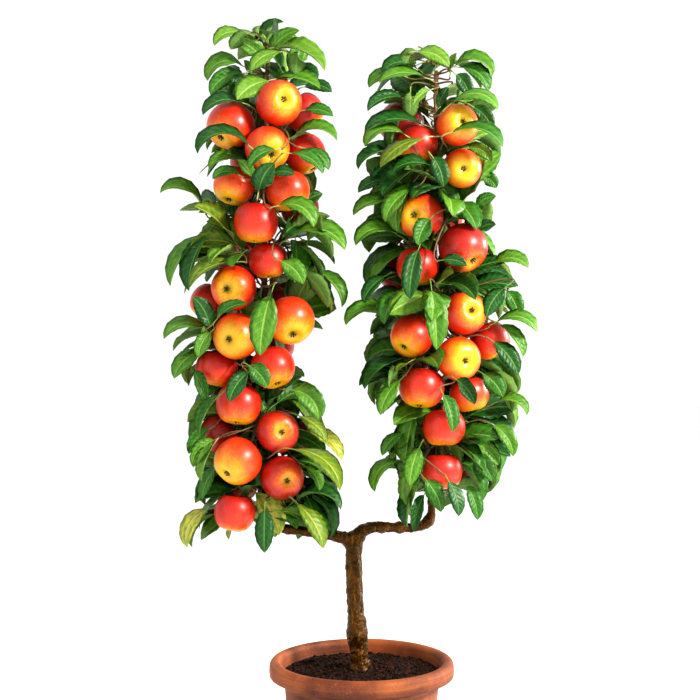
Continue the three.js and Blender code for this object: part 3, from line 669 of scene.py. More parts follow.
def armRadius(limb, share, centre):
    plain = mix(limb["armRadius"], limb["elbowRadius"], share / elbowShare(limb))
    return plain + elbowKnob(limb, centre) + sum(rise * swell(centre[0] - x, knotSpread) for x, rise in limb["knots"])


def leaderRadius(limb, share, centre):
    start = elbowShare(limb)
    return mix(limb["leaderRadius"], limb["tipRadius"], (share - start) / (1 - start)) + elbowKnob(limb, centre)


armShape = {
    "rings": 110, "sides": 44, "rough": 1.0, "radius": armRadius, "collar": 4.2, "collarReach": 20, "collarFrom": 6,
}
leaderShape = {
    "rings": 420, "sides": 30, "rough": 0.6, "radius": leaderRadius, "nodeStep": 31, "nodeRise": 0.9, "nodeSpread": 4,
}
limbTwist = {"right": 300, "left": 900}  # where on the bark's pattern each side begins


# What an arm gains at its collar on the trunk, and a leader at its old leaf nodes.
def limbGain(kind, centre, along):
    if kind == "Arm":
        away = max(0, np.linalg.norm(centre - trunkCentre(1)) - armShape["collarFrom"])
        return armShape["collar"] * math.exp(-away / armShape["collarReach"])
    return leaderShape["nodeRise"] * swell(math.remainder(along, leaderShape["nodeStep"]), leaderShape["nodeSpread"])


def makeLimbPart(side, limb, kind, shape, start, end, material):
    angles = around(shape["sides"]).tolist()
    shares = np.linspace(start, end, shape["rings"] + 1)
    path = np.array([curvePoint(limbPoints(limb), share) for share in shares])
    radii = []
    for share, centre, along in zip(shares, path, walkAlong(path)):
        radius = shape["radius"](limb, share, centre) + limbGain(kind, centre, along)
        radii.append([radius + shape["rough"] * roughBark(angle, radius, along + limbTwist[side]) for angle in angles])
    heap = newHeap()
    tube(heap, path, radii, shape["sides"], np.array([0, 1.0, 0]))
    makePiece(f"bark{kind}{side.capitalize()}", heap, material, [f"{kind.lower()}_{side}"], withUvs=False)


armBark, youngBark = barkMaterial("armBark", 0.1), barkMaterial("youngBark", 0.8)
for side, limb in limbs.items():
    elbow = elbowShare(limb)
    makeLimbPart(side, limb, "Arm", armShape, 0, elbow, armBark)
    makeLimbPart(side, limb, "Leader", leaderShape, elbow - 0.006, 1, youngBark)


print("growth")
spurs = {
    "count": 15, "turn": math.radians(137.508), "stemReach": 22, "stemRise": 12, "stemRadius": 4.6,
    "headRadius": 3.4, "stemBow": 5, "rings": 9, "tipRise": 11, "tipPenalty": 60,
}
# Fruit: across from the leader, height, distance in front of it, radius, then where the
# calyx looks: across, down and forward.
columns = {
    "left": {
        "seed": 15, "firstTurn": math.radians(210), "lowest": 268, "highest": 930, "leafFloor": 194, "leafTop": 1052,
        "reach": [
            (200, 130, 128), (320, 110, 131), (390, 129, 112), (440, 112, 92), (500, 146, 72),
            (530, 162, 84), (600, 118, 127), (650, 158, 110), (700, 140, 127), (780, 168, 91),
            (822, 94, 98), (860, 112, 114), (950, 97, 103), (1010, 92, 86), (1052, 76, 52),
        ],
        "fruit": [
            (22, 908, 62, 36, (0.3, -0.2, 1)), (-50, 877, 44, 38, (-0.55, 0.7, 0.6)), (8, 843, 66, 35, (0.3, 0.35, 1)),
            (58, 893, 4, 33, (0.6, 0.8, 0)), (58, 838, 20, 33, (0.5, 0.9, 0.2)), (-45, 782, 46, 33, (-0.3, 0.9, 0.4)),
            (33, 786, 50, 35, (0.2, 0.9, 0.3)), (-9, 733, 64, 35, (0, 1, 0.15)), (0, 668, 46, 31, (0.1, 1, 0.2)),
            (-41, 627, 52, 36, (-0.4, 0, 1)), (-84, 600, 8, 32, (-0.6, 0.8, 0.1)), (45, 574, 52, 39, (0.15, 0.8, 0.8)),
            (-40, 548, 60, 37, (-0.4, 0.1, 1)), (-70, 496, 28, 34, (-0.2, 1, 0.1)), (16, 502, 62, 35, (0.3, 0.9, 0.4)),
            (-36, 444, 56, 36, (-0.1, 1, 0.3)), (29, 397, 60, 34, (0.3, -0.1, 1)), (-65, 385, 18, 32, (-0.6, 0.8, 0)),
            (-31, 354, 62, 38, (-0.6, 0.65, 0.65)), (32, 328, 56, 35, (0.35, 0.05, 1)),
            (-39, 268, 50, 33, (-0.1, 1, 0.1)),
        ],
        "behind": (9, 300, 900),
    },
    "right": {
        "seed": 4, "firstTurn": math.radians(30), "lowest": 290, "highest": 912, "leafFloor": 240, "leafTop": 1012,
        "reach": [
            (240, 62, 84), (300, 101, 100), (360, 90, 137), (430, 96, 153), (480, 140, 151),
            (550, 142, 168), (630, 126, 138), (662, 104, 152), (690, 128, 92), (760, 132, 98),
            (850, 117, 109), (920, 112, 98), (960, 106, 90), (1012, 66, 70),
        ],
        "fruit": [
            (28, 879, 58, 33, (0.35, -0.2, 1)), (-27, 853, 44, 32, (-0.2, 1, 0.2)), (39, 812, 54, 31, (0.05, 0, 1)),
            (-26, 738, 60, 36, (-0.4, -0.1, 1)), (40, 688, 56, 39, (0.55, 0.7, 0.6)),
            (-27, 660, 52, 34, (-0.1, 1, 0.2)), (48, 583, 52, 35, (0.35, -0.25, 1)),
            (-36, 550, 54, 34, (-0.55, 0.65, 0.65)), (33, 510, 62, 35, (0.4, 0.05, 1)),
            (84, 544, 12, 32, (0.5, 0.9, 0.2)), (-16, 471, 62, 36, (-0.1, 1, 0.3)), (55, 459, 36, 32, (0.2, 1, 0.1)),
            (13, 405, 60, 34, (0, 1, 0.2)), (12, 338, 60, 33, (0, 1, 0.1)),
        ],
        "behind": (8, 325, 885),
    },
}
frontSwell = 14
behindRow = {"distance": 62, "radius": 34, "radiusSwing": 3, "swing": 1.15, "step": 2.4, "tilt": 0.45}
appleRoom = {"apart": 3, "fromLeader": 4, "settling": 150}

for side, column in columns.items():
    column["limb"] = limbs[side]
    shares = np.linspace(elbowShare(limbs[side]), 1, 500)
    column["axis"] = np.array([curvePoint(limbPoints(limbs[side]), share) for share in shares])


def leaderAt(column, height):
    x, y, z = column["axis"].T
    level = height + ground
    return np.array([np.interp(level, z, x), np.interp(level, z, y), level])


def leaderRadiusAt(column, height):
    z = np.clip((height + ground - column["axis"][0, 2]) / np.ptp(column["axis"][:, 2]), 0, 1)
    return mix(column["limb"]["leaderRadius"], column["limb"]["tipRadius"], z)


def awayFromLeader(column, point):
    return (point - leaderAt(column, point[2] - ground)) * (1, 1, 0)


def reachAt(column, height, outward):
    heights, *reaches = np.array(column["reach"], float).T
    left, right = (np.interp(height, heights, reach) for reach in reaches)
    return (left + right) / 2 + (right - left) / 2 * outward[0] + frontSwell * outward[1] ** 2


def shareOfReach(column, point):
    away = awayFromLeader(column, point)
    return np.linalg.norm(away) / reachAt(column, point[2] - ground, unit(away))


def shareUp(column, point):
    return min(max((point[2] - ground - column["lowest"]) / (column["highest"] - column["lowest"]), 0), 1)


def withinOutline(column, point):
    if not column["leafFloor"] <= point[2] - ground <= column["leafTop"]:
        return False
    return shareOfReach(column, point) <= leafGrowth["withinReach"]


# Pushes fruit apart until none touches another or the leader.
def settleFruit(column, fruit):
    for _ in range(appleRoom["settling"]):
        moved = False
        for i, one in enumerate(fruit):
            for other in fruit[i + 1:]:
                gap = one["radius"] + other["radius"] + appleRoom["apart"]
                apart = other["centre"] - one["centre"]
                length = math.sqrt(sum(apart * apart))
                if length < gap:
                    push = apart * ((gap - length) / 2 / length)
                    other["centre"] = other["centre"] + push
                    one["centre"] = one["centre"] - push
                    moved = True
            away = awayFromLeader(column, one["centre"])
            length = math.hypot(away[0], away[1])
            leader = leaderRadiusAt(column, one["centre"][2] - ground)
            short = one["radius"] + leader + appleRoom["fromLeader"] - length
            if short > 0:
                one["centre"] = one["centre"] + away * (short / length)
                moved = True
        if not moved:
            break


def fruitOf(column):
    fruit = []
    for across, height, front, radius, (lookAcross, down, forward) in column["fruit"]:
        centre = leaderAt(column, height) + (across, -front, 0)
        look = unit(np.array([lookAcross, -forward, -down], float))
        fruit.append({"centre": centre, "radius": radius, "look": look, "front": True})
    count, lowest, highest = column["behind"]
    for k in range(count):
        wave = math.sin(k * behindRow["step"] + column["seed"])
        outward = outwards(math.pi / 2 + behindRow["swing"] * wave)
        centre = leaderAt(column, mix(lowest, highest, k / (count - 1))) + outward * behindRow["distance"]
        radius = behindRow["radius"] + behindRow["radiusSwing"] * wave
        look = unit(outward * (k % 3) * behindRow["tilt"] - up)
        fruit.append({"centre": centre, "radius": radius, "look": look, "front": False})
    settleFruit(column, fruit)
    return fruit


# The last site is the leader's own tip, which needs no stem.
def spurSites(column):
    sites = []
    for k in range(spurs["count"]):
        height = mix(column["lowest"], column["highest"], k / (spurs["count"] - 1))
        outward = outwards(column["firstTurn"] + k * spurs["turn"])
        foot = leaderAt(column, height - spurs["stemRise"])
        head = leaderAt(column, height) + outward * spurs["stemReach"]
        sites.append({"outward": outward, "pull": 1.0, "foot": foot, "head": head, "terminal": False})
    tip = np.array(column["limb"]["tip"], float) + (0, 0, ground)
    sites.append({"outward": up, "pull": 0.5, "head": tip + up * spurs["tipRise"], "terminal": True})
    return sites


shoots = {
    "kind": "shoot", "count": 5, "shortest": 14, "longest": 84, "radius": 2.1, "startRadius": 2.835, "endRadius": 1.89,
    "sideLeaves": 2, "endLeaves": 4,
}
fineTwigs = {
    "kind": "fine", "count": 1, "shortest": 10, "longest": 34, "radius": 1.3, "startRadius": 1.56, "endRadius": 1.3,
    "turn": 2.6, "endLeaves": 3,
}
showTwigs = {"kind": "fine", "startRadius": 1.75, "endRadius": 1.12}
twigGrowth = {"tries": 60, "leastLean": 8, "mostLean": 82, "leafShare": 0.7, "bow": 0.1, "lift": 0.04, "room": 1.5}
leafGrowth = {
    "shortest": 74, "longest": 116, "petiole": 0.22, "widestAt": 0.6, "halfWidth": 0.21, "turnRange": 2.2,
    "spacing": 29, "fan": math.radians(32), "wander": 0.95, "droopLow": -0.42, "liftHigh": 0.1, "steepest": 0.95,
    "leastDrop": math.radians(14), "mostDrop": math.radians(64), "tries": 46, "choices": 3,
    "clearance": 2.0, "rootRoom": 14, "knobLeaves": 5, "fruitShown": 0.97, "withinReach": 0.94,
    "openFrom": 0.88, "openTop": 0.25, "faceOut": 0.75, "faceUp": 0.65, "turnsTo": 0.75, "mostTurn": 1.3,
    "alongTwig": 0.5, "alongWander": 0.7, "leastPull": 0.2, "mostPull": 0.8, "lowDroop": 1.25, "highDroop": 0.85,
}
ribBend = {"foot": 0.12, "rise": 1.05, "power": 1.25}
# Gaps between the leaves, as seen level with the leaders: across, above the compost, half sizes.
openSky = {
    "left": [
        (-179, 200, 110, 24), (-266, 722, 20, 24), (-92, 513, 14, 22), (-66, 452, 12, 26), (-266, 780, 14, 16),
        (-256, 618, 16, 14),
    ],
    "right": [
        (36, 286, 26, 44), (33, 396, 18, 20), (-4, 518, 14, 44), (150, 255, 60, 12), (6, 628, 12, 14),
        (30, 900, 22, 9),
    ],
}
eye = np.array([cameraView["x"], -cameraView["distance"], cameraView["height"]]) / mm


# How far the rib has turned down at each share of the blade.
def bendAlong(drop, t):
    return drop * (ribBend["foot"] + ribBend["rise"] * t ** ribBend["power"])


def bentDown(heading, normal, angle):
    return heading * math.cos(angle) - normal * math.sin(angle)


# A blade rolls about its rib until its upper face looks towards the light.
def rollTowards(side, lift, face):
    return -math.atan2(np.dot(face, side), np.dot(face, lift))


def leafCorners(root, heading, drop, length, face):
    side = unit(np.cross(heading, up))
    normal = unit(np.cross(side, heading))
    most = leafGrowth["mostTurn"]
    roll = leafGrowth["turnsTo"] * min(max(rollTowards(side, normal, face), -most), most)
    middle = root + heading * length * leafGrowth["widestAt"]
    tip = middle + bentDown(heading, normal, drop) * length * (1 - leafGrowth["widestAt"])
    edge = (side * math.cos(roll) + normal * math.sin(roll)) * (length * leafGrowth["halfWidth"])
    return np.array([root, middle + edge, middle - edge, middle, tip]), roll


def leafSamples(corners):
    root, right, left, middle, tip = corners
    rows = [mix(root, middle, 0.5), middle, mix(middle, tip, 0.5), tip]
    for edge in (right, left):
        rows.extend([edge, mix(root, edge, 0.75), mix(edge, tip, 0.5)])
    return np.array(rows)


def clearOf(points, centres, radii, room):
    if len(centres) == 0:
        return True
    gaps = np.linalg.norm(points[:, None] - centres[None], axis=2) - radii[None]
    return bool((gaps > room).all())


# How many of the places lie in front of the fruit on the sunny side, which hangs clear of leaves.
def fruitHidden(space, samples):
    across = samples[:, None, [0, 2]] - space["shown"][None, :, [0, 2]]
    near = np.linalg.norm(across, axis=2) < space["shownRadii"] * leafGrowth["fruitShown"]
    return int((near & (samples[:, None, 1] < space["shown"][None, :, 1])).sum())


def inOpenSky(side, points):
    ahead = (-eye[1] / (points[:, 1] - eye[1]))[:, None]
    seen = (eye + (points - eye) * ahead)[:, [0, 2]] - (0, ground)
    for across, height, halfAcross, halfUp in openSky[side]:
        if (np.sum(((seen - (across, height)) / (halfAcross, halfUp)) ** 2, axis=1) < 1).any():
            return True
    return False


def leafFits(space, root, corners, spacing):
    if not all(withinOutline(space["column"], point) for point in corners[1:]):
        return False
    others = np.array(space["centres"]).reshape(-1, 3)
    if len(others) and np.min(np.sum((others - corners[3]) ** 2, axis=1)) < spacing ** 2:
        return False
    samples = leafSamples(corners)
    free = samples[np.linalg.norm(samples - root, axis=1) > leafGrowth["rootRoom"]]
    return (
        clearOf(samples, space["balls"], space["ballRadii"], leafGrowth["clearance"])
        and clearOf(free, space["wood"], space["woodRadii"], 1.0)
        and not fruitHidden(space, samples) and not inOpenSky(space["side"], samples[1:])
    )


# The blade that reaches furthest out, of the first few that fit.
def growLeaf(space, root, axis, turn, taken, share):
    chance, column = space["chance"], space["column"]
    face = unit(awayFromLeader(column, root)) * leafGrowth["faceOut"] + up * leafGrowth["faceUp"]
    top = max(share - leafGrowth["openFrom"], 0) / (1 - leafGrowth["openFrom"])
    spacing = leafGrowth["spacing"] * (1 + leafGrowth["openTop"] * top)
    best, furthest, found = None, 0, 0
    for attempt in range(leafGrowth["tries"]):
        angle = turn + chance.random() * leafGrowth["turnRange"]
        wander = np.array([math.cos(angle), math.sin(angle), between(chance, -1, 1) * leafGrowth["wander"]])
        pull = space["outward"] * space["pull"] * between(chance, leafGrowth["leastPull"], leafGrowth["mostPull"])
        heading = axis * leafGrowth["alongTwig"] + wander * leafGrowth["alongWander"] + pull
        heading = unit(heading + up * mix(leafGrowth["droopLow"], leafGrowth["liftHigh"], share))
        drop = between(chance, leafGrowth["leastDrop"], leafGrowth["mostDrop"])
        drop *= mix(leafGrowth["lowDroop"], leafGrowth["highDroop"], share)
        shorter = chance.random() * mix(0.4, 1, attempt / leafGrowth["tries"])
        length = mix(leafGrowth["longest"], leafGrowth["shortest"], shorter)
        alike = any(np.dot(other, heading) > math.cos(leafGrowth["fan"]) for other in taken)
        if abs(heading[2]) > leafGrowth["steepest"] or alike:
            continue
        corners, roll = leafCorners(root, heading, drop, length, face)
        if not leafFits(space, root, corners, spacing):
            continue
        found += 1
        reached = shareOfReach(column, corners[4])
        if best is None or reached > furthest:
            furthest = reached
            best = {
                "root": root, "heading": heading, "drop": drop, "length": length, "middle": corners[3],
                "roll": roll, "petiole": length * leafGrowth["petiole"], "share": share,
            }
        if found >= leafGrowth["choices"]:
            break
    if best is None:
        return False
    space["centres"].append(best["middle"])
    taken.append(best["heading"])
    space["leaves"].append(best)
    return True


def growRosette(space, root, axis, count):
    share, taken = shareUp(space["column"], root), []
    return sum(growLeaf(space, root, axis, k * spurs["turn"], taken, share) for k in range(count))


def growTwig(space, start, outward, turn, twig):
    chance, column = space["chance"], space["column"]
    sideways = np.cross(up, outward)
    sideways = unit(sideways) if np.linalg.norm(sideways) > 0.1 else np.array([1.0, 0, 0])
    lift = np.cross(outward, sideways)
    shortest = twig["shortest"]
    for _ in range(twigGrowth["tries"]):
        angle = turn + chance.random() * leafGrowth["turnRange"]
        lean = math.radians(between(chance, twigGrowth["leastLean"], twigGrowth["mostLean"]))
        across = sideways * math.cos(angle) + lift * math.sin(angle)
        heading = unit(outward * math.cos(lean) + across * math.sin(lean))
        spare = reachAt(column, start[2] - ground, heading) - leafGrowth["longest"] * twigGrowth["leafShare"]
        length = mix(shortest, min(max(spare, shortest), twig["longest"]), between(chance, 0.4, 1))
        along, end = heading * length, start + heading * length
        bend = unit(np.cross(heading, [chance.random() - 0.5, chance.random() - 0.5, 0.3])) * length * twigGrowth["bow"]
        late = start + along * 0.66 + bend * 0.6 + up * length * twigGrowth["lift"]
        path = bezier(start, start + along * 0.33 + bend, late, end, 7)
        room = twig["radius"] + twigGrowth["room"]
        if clearOf(path[2:], space["balls"], space["ballRadii"], room) and withinOutline(column, end):
            return path
    return None


def addTwig(space, path, twig):
    radii = np.linspace(twig["startRadius"], twig["endRadius"], len(path))
    space["twigs"].append({"path": path, "radii": radii, "kind": twig["kind"]})


beads = {"trunk": 30, "trunkRadius": 15, "limb": 260}


# Balls along the trunk and the limbs, which the leaves keep clear of.
def woodBeads():
    rows = [(trunkCentre(k / beads["trunk"]), beads["trunkRadius"]) for k in range(beads["trunk"] + 1)]
    for limb in limbs.values():
        for share in [k / beads["limb"] for k in range(beads["limb"] + 1)]:
            centre = curvePoint(limbPoints(limb), share)
            radiusAt = armRadius if share < elbowShare(limb) else leaderRadius
            rows.append((centre, radiusAt(limb, share, centre)))
    centres, radii = zip(*rows)
    return np.array(centres), np.array(radii, float)


# The showiest leaves have their own places: where the blade starts and where its tip hangs,
# across and above the compost as seen level with the leaders, then the distance in front of
# them, the width, the arch as a share of the length, and the tint.
# Among the tints of the show leaves, the deep one is partly painted shade and the fresh one partly painted light.
showLeaves = {
    "left": [
        (-146, 998, -99, 1034, 20, 28, 0.12, "Fresh"), (-158, 986, -202, 1016, 20, 32, 0.15, "Fresh"),
        (-163, 1022, -124, 1047, 8, 16, 0.12, "Deep"), (-182, 1028, -208, 1004, 30, 24, 0.1, "Back"),
        (-192, 1030, -234, 1010, 20, 20, 0.2, "Young"), (-192, 966, -240, 932, 22, 30, 0.18, "Mid"),
        (-175, 962, -186, 988, 20, 13, 0.1, "Mid"), (-116, 964, -70, 957, 25, 18, 0.25, "Deep"),
        (-92, 945, -48, 937, 12, 20, 0.15, "Deep"), (-92, 908, -46, 899, 42, 20, 0.12, "Mid"),
        (-105, 869, -40, 861, 50, 20, 0.2, "Fresh"), (-92, 848, -53, 814, 60, 20, 0.15, "Mid"),
        (-138, 846, -180, 816, 112, 22, 0.15, "Mid"), (-146, 806, -107, 806, 110, 18, 0.15, "Deep"),
        (-194, 830, -244, 816, 60, 20, 0.2, "Fresh"), (-196, 806, -238, 799, 60, 20, 0.2, "Mid"),
        (-174, 800, -198, 830, 90, 20, 0.1, "Fresh"),
        (-133, 1006, -59, 971, 30, 26, 0.15, "Young"), (-102, 1000, -104, 962, 34, 30, 0.1, "Back"),
        (-130, 1000, -176, 970, 45, 24, 0.15, "Young"), (-189, 978, -245, 955, 10, 24, 0.3, "Fresh"),
        (-186, 965, -206, 925, 30, 28, 0.1, "Deep"), (-190, 920, -253, 901, 25, 20, 0.2, "Deep"),
        (-136, 957, -66, 942, 40, 19, 0.12, "Fresh"), (-181, 853, -262, 840, 100, 19, 0.3, "Deep"),
        (-114, 840, -62, 808, 68, 20, 0.15, "Mid"), (-256, 758, -322, 778, 20, 20, 0.25, "Fresh"),
        (-251, 710, -307, 629, 30, 22, 0.12, "Fresh"), (-248, 710, -277, 621, 55, 28, 0.1, "Deep"),
        (-203, 667, -275, 627, 90, 21, 0.15, "Olive"), (-165, 778, -139, 825, 112, 37, 0.1, "Deep"),
        (-133, 757, -77, 723, 75, 28, 0.25, "Fresh"), (-115, 706, -27, 686, 60, 27, 0.25, "Fresh"),
        (-130, 669, -94, 632, 95, 31, 0.12, "Fresh"), (-99, 653, -54, 594, 55, 26, 0.1, "Back"),
        (-80, 650, -32, 595, 30, 20, 0.2, "Fresh"), (-146, 614, -163, 517, 112, 44, 0.06, "Fresh"),
        (-243, 558, -269, 613, 60, 30, 0.1, "Deep"), (-246, 558, -318, 544, 40, 21, 0.25, "Fresh"),
        (-232, 576, -184, 600, 108, 23, 0.12, "Mid"), (-243, 554, -262, 514, 60, 27, 0.12, "Fresh"),
        (-182, 490, -213, 442, 112, 30, 0.1, "Deep"), (-182, 501, -152, 466, 105, 32, 0.1, "Mid"),
        (-112, 461, -70, 414, 70, 42, 0.22, "Fresh"), (-93, 396, -32, 347, 34, 24, 0.15, "Yellow"),
        (-109, 365, -35, 298, 55, 28, 0.2, "Olive"), (-238, 374, -259, 314, 60, 22, 0.1, "Young"),
        (-104, 283, -34, 267, 40, 21, 0.25, "Deep"), (-133, 264, -78, 235, 80, 24, 0.15, "Fresh"),
        (-104, 277, -62, 203, 60, 30, 0.1, "Olive"), (-247, 268, -283, 205, 24, 26, 0.22, "Yellow"),
        (-157, 267, -158, 196, 90, 30, 0.08, "Deep"), (-272, 493, -251, 437, 50, 30, 0.1, "Mid"),
        (-256, 524, -302, 480, 35, 28, 0.15, "Fresh"), (-229, 452, -262, 390, 45, 22, 0.1, "Mid"),
        (-246, 398, -279, 358, 40, 30, 0.12, "Mid"), (-238, 380, -272, 336, 50, 30, 0.15, "Fresh"),
        (-233, 338, -258, 284, 30, 22, 0.1, "Mid"), (-102, 420, -56, 377, 62, 22, 0.12, "Olive"),
        (-92, 338, -68, 298, 62, 20, 0.15, "Fresh"),
    ],
    "right": [
        (85, 1003, 67, 971, 20, 30, 0.1, "Back"), (86, 1000, 138, 976, 30, 26, 0.15, "Young"),
        (87, 974, 33, 965, 22, 20, 0.25, "Deep"), (62, 963, 11, 944, 20, 20, 0.2, "Fresh"),
        (64, 928, 9, 907, 30, 24, 0.15, "Deep"), (108, 940, 82, 916, 60, 19, 0.12, "Young"),
        (138, 945, 122, 912, 20, 18, 0.1, "Deep"), (140, 966, 147, 1000, 15, 14, 0.08, "Young"),
        (153, 976, 200, 938, 22, 26, 0.2, "Mid"), (176, 914, 207, 876, 35, 26, 0.12, "Deep"),
        (96, 886, 4, 873, 40, 22, 0.15, "Deep"), (44, 840, -6, 815, 35, 20, 0.2, "Deep"),
        (52, 796, -6, 778, 35, 20, 0.15, "Deep"), (46, 764, -14, 742, 35, 20, 0.15, "Fresh"),
        (168, 848, 206, 826, 30, 24, 0.2, "Fresh"), (182, 756, 214, 772, 25, 20, 0.12, "Mid"),
        (184, 716, 214, 727, 25, 24, 0.15, "Deep"), (191, 804, 214, 785, 12, 24, 0.15, "Mid"),
        (99, 960, 27, 952, 40, 19, 0.15, "Fresh"), (77, 938, 77, 894, 30, 26, 0.1, "Back"),
        (149, 979, 206, 962, 15, 22, 0.28, "Fresh"), (149, 965, 171, 930, 40, 28, 0.1, "Deep"),
        (141, 918, 216, 909, 45, 20, 0.28, "Fresh"), (144, 874, 224, 850, 75, 18, 0.2, "Mid"),
        (69, 869, 5, 851, 60, 20, 0.28, "Fresh"), (98, 864, 29, 818, 95, 22, 0.12, "Olive"),
        (112, 835, 130, 787, 95, 28, 0.1, "Deep"), (110, 821, 48, 810, 95, 20, 0.15, "Deep"),
        (77, 782, 37, 731, 85, 27, 0.12, "Fresh"), (58, 710, -10, 694, 45, 25, 0.25, "Fresh"),
        (109, 736, 90, 694, 100, 34, 0.1, "Mid"), (90, 686, 77, 608, 112, 36, 0.08, "Deep"),
        (210, 661, 266, 658, 30, 23, 0.25, "Fresh"), (128, 670, 168, 661, 100, 20, 0.12, "Deep"),
        (38, 645, 2, 603, 55, 22, 0.1, "Deep"), (42, 586, -26, 566, 50, 24, 0.22, "Fresh"),
        (112, 621, 120, 526, 118, 42, 0.06, "Fresh"), (229, 626, 200, 579, 50, 30, 0.1, "Deep"),
        (232, 621, 251, 580, 30, 30, 0.1, "Mid"), (216, 571, 282, 554, 25, 20, 0.25, "Fresh"),
        (221, 566, 259, 515, 45, 22, 0.12, "Fresh"), (211, 539, 251, 486, 55, 30, 0.1, "Deep"),
        (61, 477, 30, 421, 60, 27, 0.1, "Fresh"), (152, 478, 182, 438, 100, 34, 0.1, "Deep"),
        (194, 488, 227, 450, 45, 32, 0.1, "Mid"), (219, 442, 266, 421, 25, 19, 0.25, "Fresh"),
        (131, 454, 146, 393, 112, 26, 0.1, "Mid"), (186, 374, 221, 339, 60, 30, 0.1, "Fresh"),
        (179, 357, 211, 312, 70, 30, 0.1, "Mid"), (93, 368, 78, 305, 90, 30, 0.08, "Fresh"),
        (61, 347, 21, 296, 50, 22, 0.25, "Fresh"), (102, 317, 128, 263, 90, 30, 0.1, "Mid"),
        (101, 291, 86, 230, 75, 30, 0.1, "Deep"), (170, 306, 187, 250, 60, 26, 0.1, "Mid"),
        (212, 404, 244, 354, 45, 28, 0.15, "Fresh"), (40, 640, 4, 600, 40, 22, 0.15, "Mid"),
        (140, 314, 157, 256, 70, 24, 0.1, "Deep"), (66, 392, 33, 355, 55, 20, 0.12, "Mid"),
    ],
}
showLeaf = {
    "ribBelow": 3, "tipLean": 0.22, "petiole": 0.2, "rounds": 14, "push": 6, "fullest": 0.46, "leastDrop": 0.15,
    "steepest": 1.5, "twigRoom": 1.2, "starts": 12, "lowest": 20, "highest": 960, "frontCost": 25, "nearest": 3,
    "swings": (0, 0.3, -0.3, 0.6, -0.6, 1.0, -1.0), "rises": (0.1, -0.4, 0.6, -1.0, 1.1),
}


# A place seen level with the leaders, brought forward along the line of sight.
def seenAt(across, height, front):
    return mix(np.array([across, 0, height + ground - showLeaf["ribBelow"]], float), eye, front / -eye[1])


# How far a blade of length one reaches, and how far below its heading its tip lies.
def bladeReach(drop):
    bend = bendAlong(drop, (np.arange(40) + 0.5) / 40)
    forward, down = np.cos(bend).mean(), np.sin(bend).mean()
    return math.hypot(forward, down), math.atan2(down, forward)


# A leaf from where its blade starts and ends: how its petiole stands, how it droops and rolls.
def hangLeaf(column, base, tip, width, arch, tint):
    chord, sight = tip - base, eye - base
    length, along = np.linalg.norm(chord), unit(chord)
    drop = max(4 * math.atan(2 * arch) / ribBend["rise"], showLeaf["leastDrop"])
    reach, below = bladeReach(drop)
    climb = min(math.atan2(chord[2], math.hypot(chord[0], chord[1])) + below, showLeaf["steepest"])
    heading = unit(chord * (1, 1, 0)) * math.cos(climb) + up * math.sin(climb)
    blade = length / reach
    petiole = blade * showLeaf["petiole"]
    side = unit(np.cross(heading, up))
    normal = np.cross(side, heading)
    towards = unit(sight - along * np.dot(sight, along))
    full = max(width, blade * showLeaf["fullest"])
    off = math.acos(width / full) * (1 if np.cross(along, towards)[2] >= 0 else -1)
    face = towards * math.cos(off) * (-1 if tint == "Back" else 1) + np.cross(along, towards) * math.sin(off)
    return {
        "root": base - bentDown(heading, normal, bendAlong(drop, 0)) * petiole, "heading": heading, "drop": drop,
        "length": blade + petiole, "petiole": petiole, "middle": mix(base, tip, 0.5) + normal * arch * length,
        "roll": rollTowards(side, np.cross(side, bentDown(heading, normal, drop * 0.6)), face), "width": full,
        "share": shareUp(column, base), "tint": "Mid" if tint == "Back" else tint,
    }


# The shortest way from the wood to a show leaf that passes no fruit in front.
def showTwig(space, leaf):
    column, root = space["column"], leaf["root"]
    starts = [site["head"] for site in space["sites"]]
    for drop in range(-45, 90, 15):
        height = min(max(root[2] - ground - drop, showLeaf["lowest"]), showLeaf["highest"])
        starts.append(leaderAt(column, height))
    starts.sort(key=lambda start: np.linalg.norm(start - root))
    best, least = None, None
    for start in starts[:showLeaf["starts"]]:
        span = np.linalg.norm(root - start)
        if span < showLeaf["nearest"]:
            continue
        sideways = unit(np.cross(root - start, up) + 1e-6)
        for swing, rise in [(swing, rise) for swing in showLeaf["swings"] for rise in showLeaf["rises"]]:
            bow = sideways * span * swing + up * span * rise
            late = root - leaf["heading"] * span * 0.3 + bow * 0.3
            path = bezier(start, mix(start, root, 0.3) + bow, late, root, 11)
            if clearOf(path[1:], space["balls"], space["ballRadii"], showLeaf["twigRoom"]):
                cost = np.sum(stepLengths(path)) + showLeaf["frontCost"] * fruitHidden(space, path)
                if best is None or cost < least:
                    best, least = path, cost
    return best


# Comes forward until no fruit is in the leaf's way.
def growShowLeaf(space, row):
    startAcross, startHeight, tipAcross, tipHeight, front, width, arch, tint = row
    lean = math.hypot(tipAcross - startAcross, tipHeight - startHeight) * showLeaf["tipLean"]
    for k in range(showLeaf["rounds"]):
        out = front + k * showLeaf["push"]
        base, tip = seenAt(startAcross, startHeight, out), seenAt(tipAcross, tipHeight, out + lean)
        leaf = hangLeaf(space["column"], base, tip, width, arch, tint)
        middle, across = leaf["middle"], unit(np.cross(tip - base, eye - base)) * width * 0.45
        samples = [leaf["root"], base, middle, tip, middle + across, middle - across]
        samples.extend(mix(middle + edge, end, 0.5) for edge in (across, -across, across * 0) for end in (base, tip))
        if clearOf(np.array(samples), space["balls"], space["ballRadii"], leafGrowth["clearance"]):
            break
    path = showTwig(space, leaf)
    if path is None:
        print("    no twig for the leaf at", row[:4])
        return
    space["leaves"].append(leaf)
    space["centres"].append(leaf["middle"])
    addTwig(space, path, showTwigs)


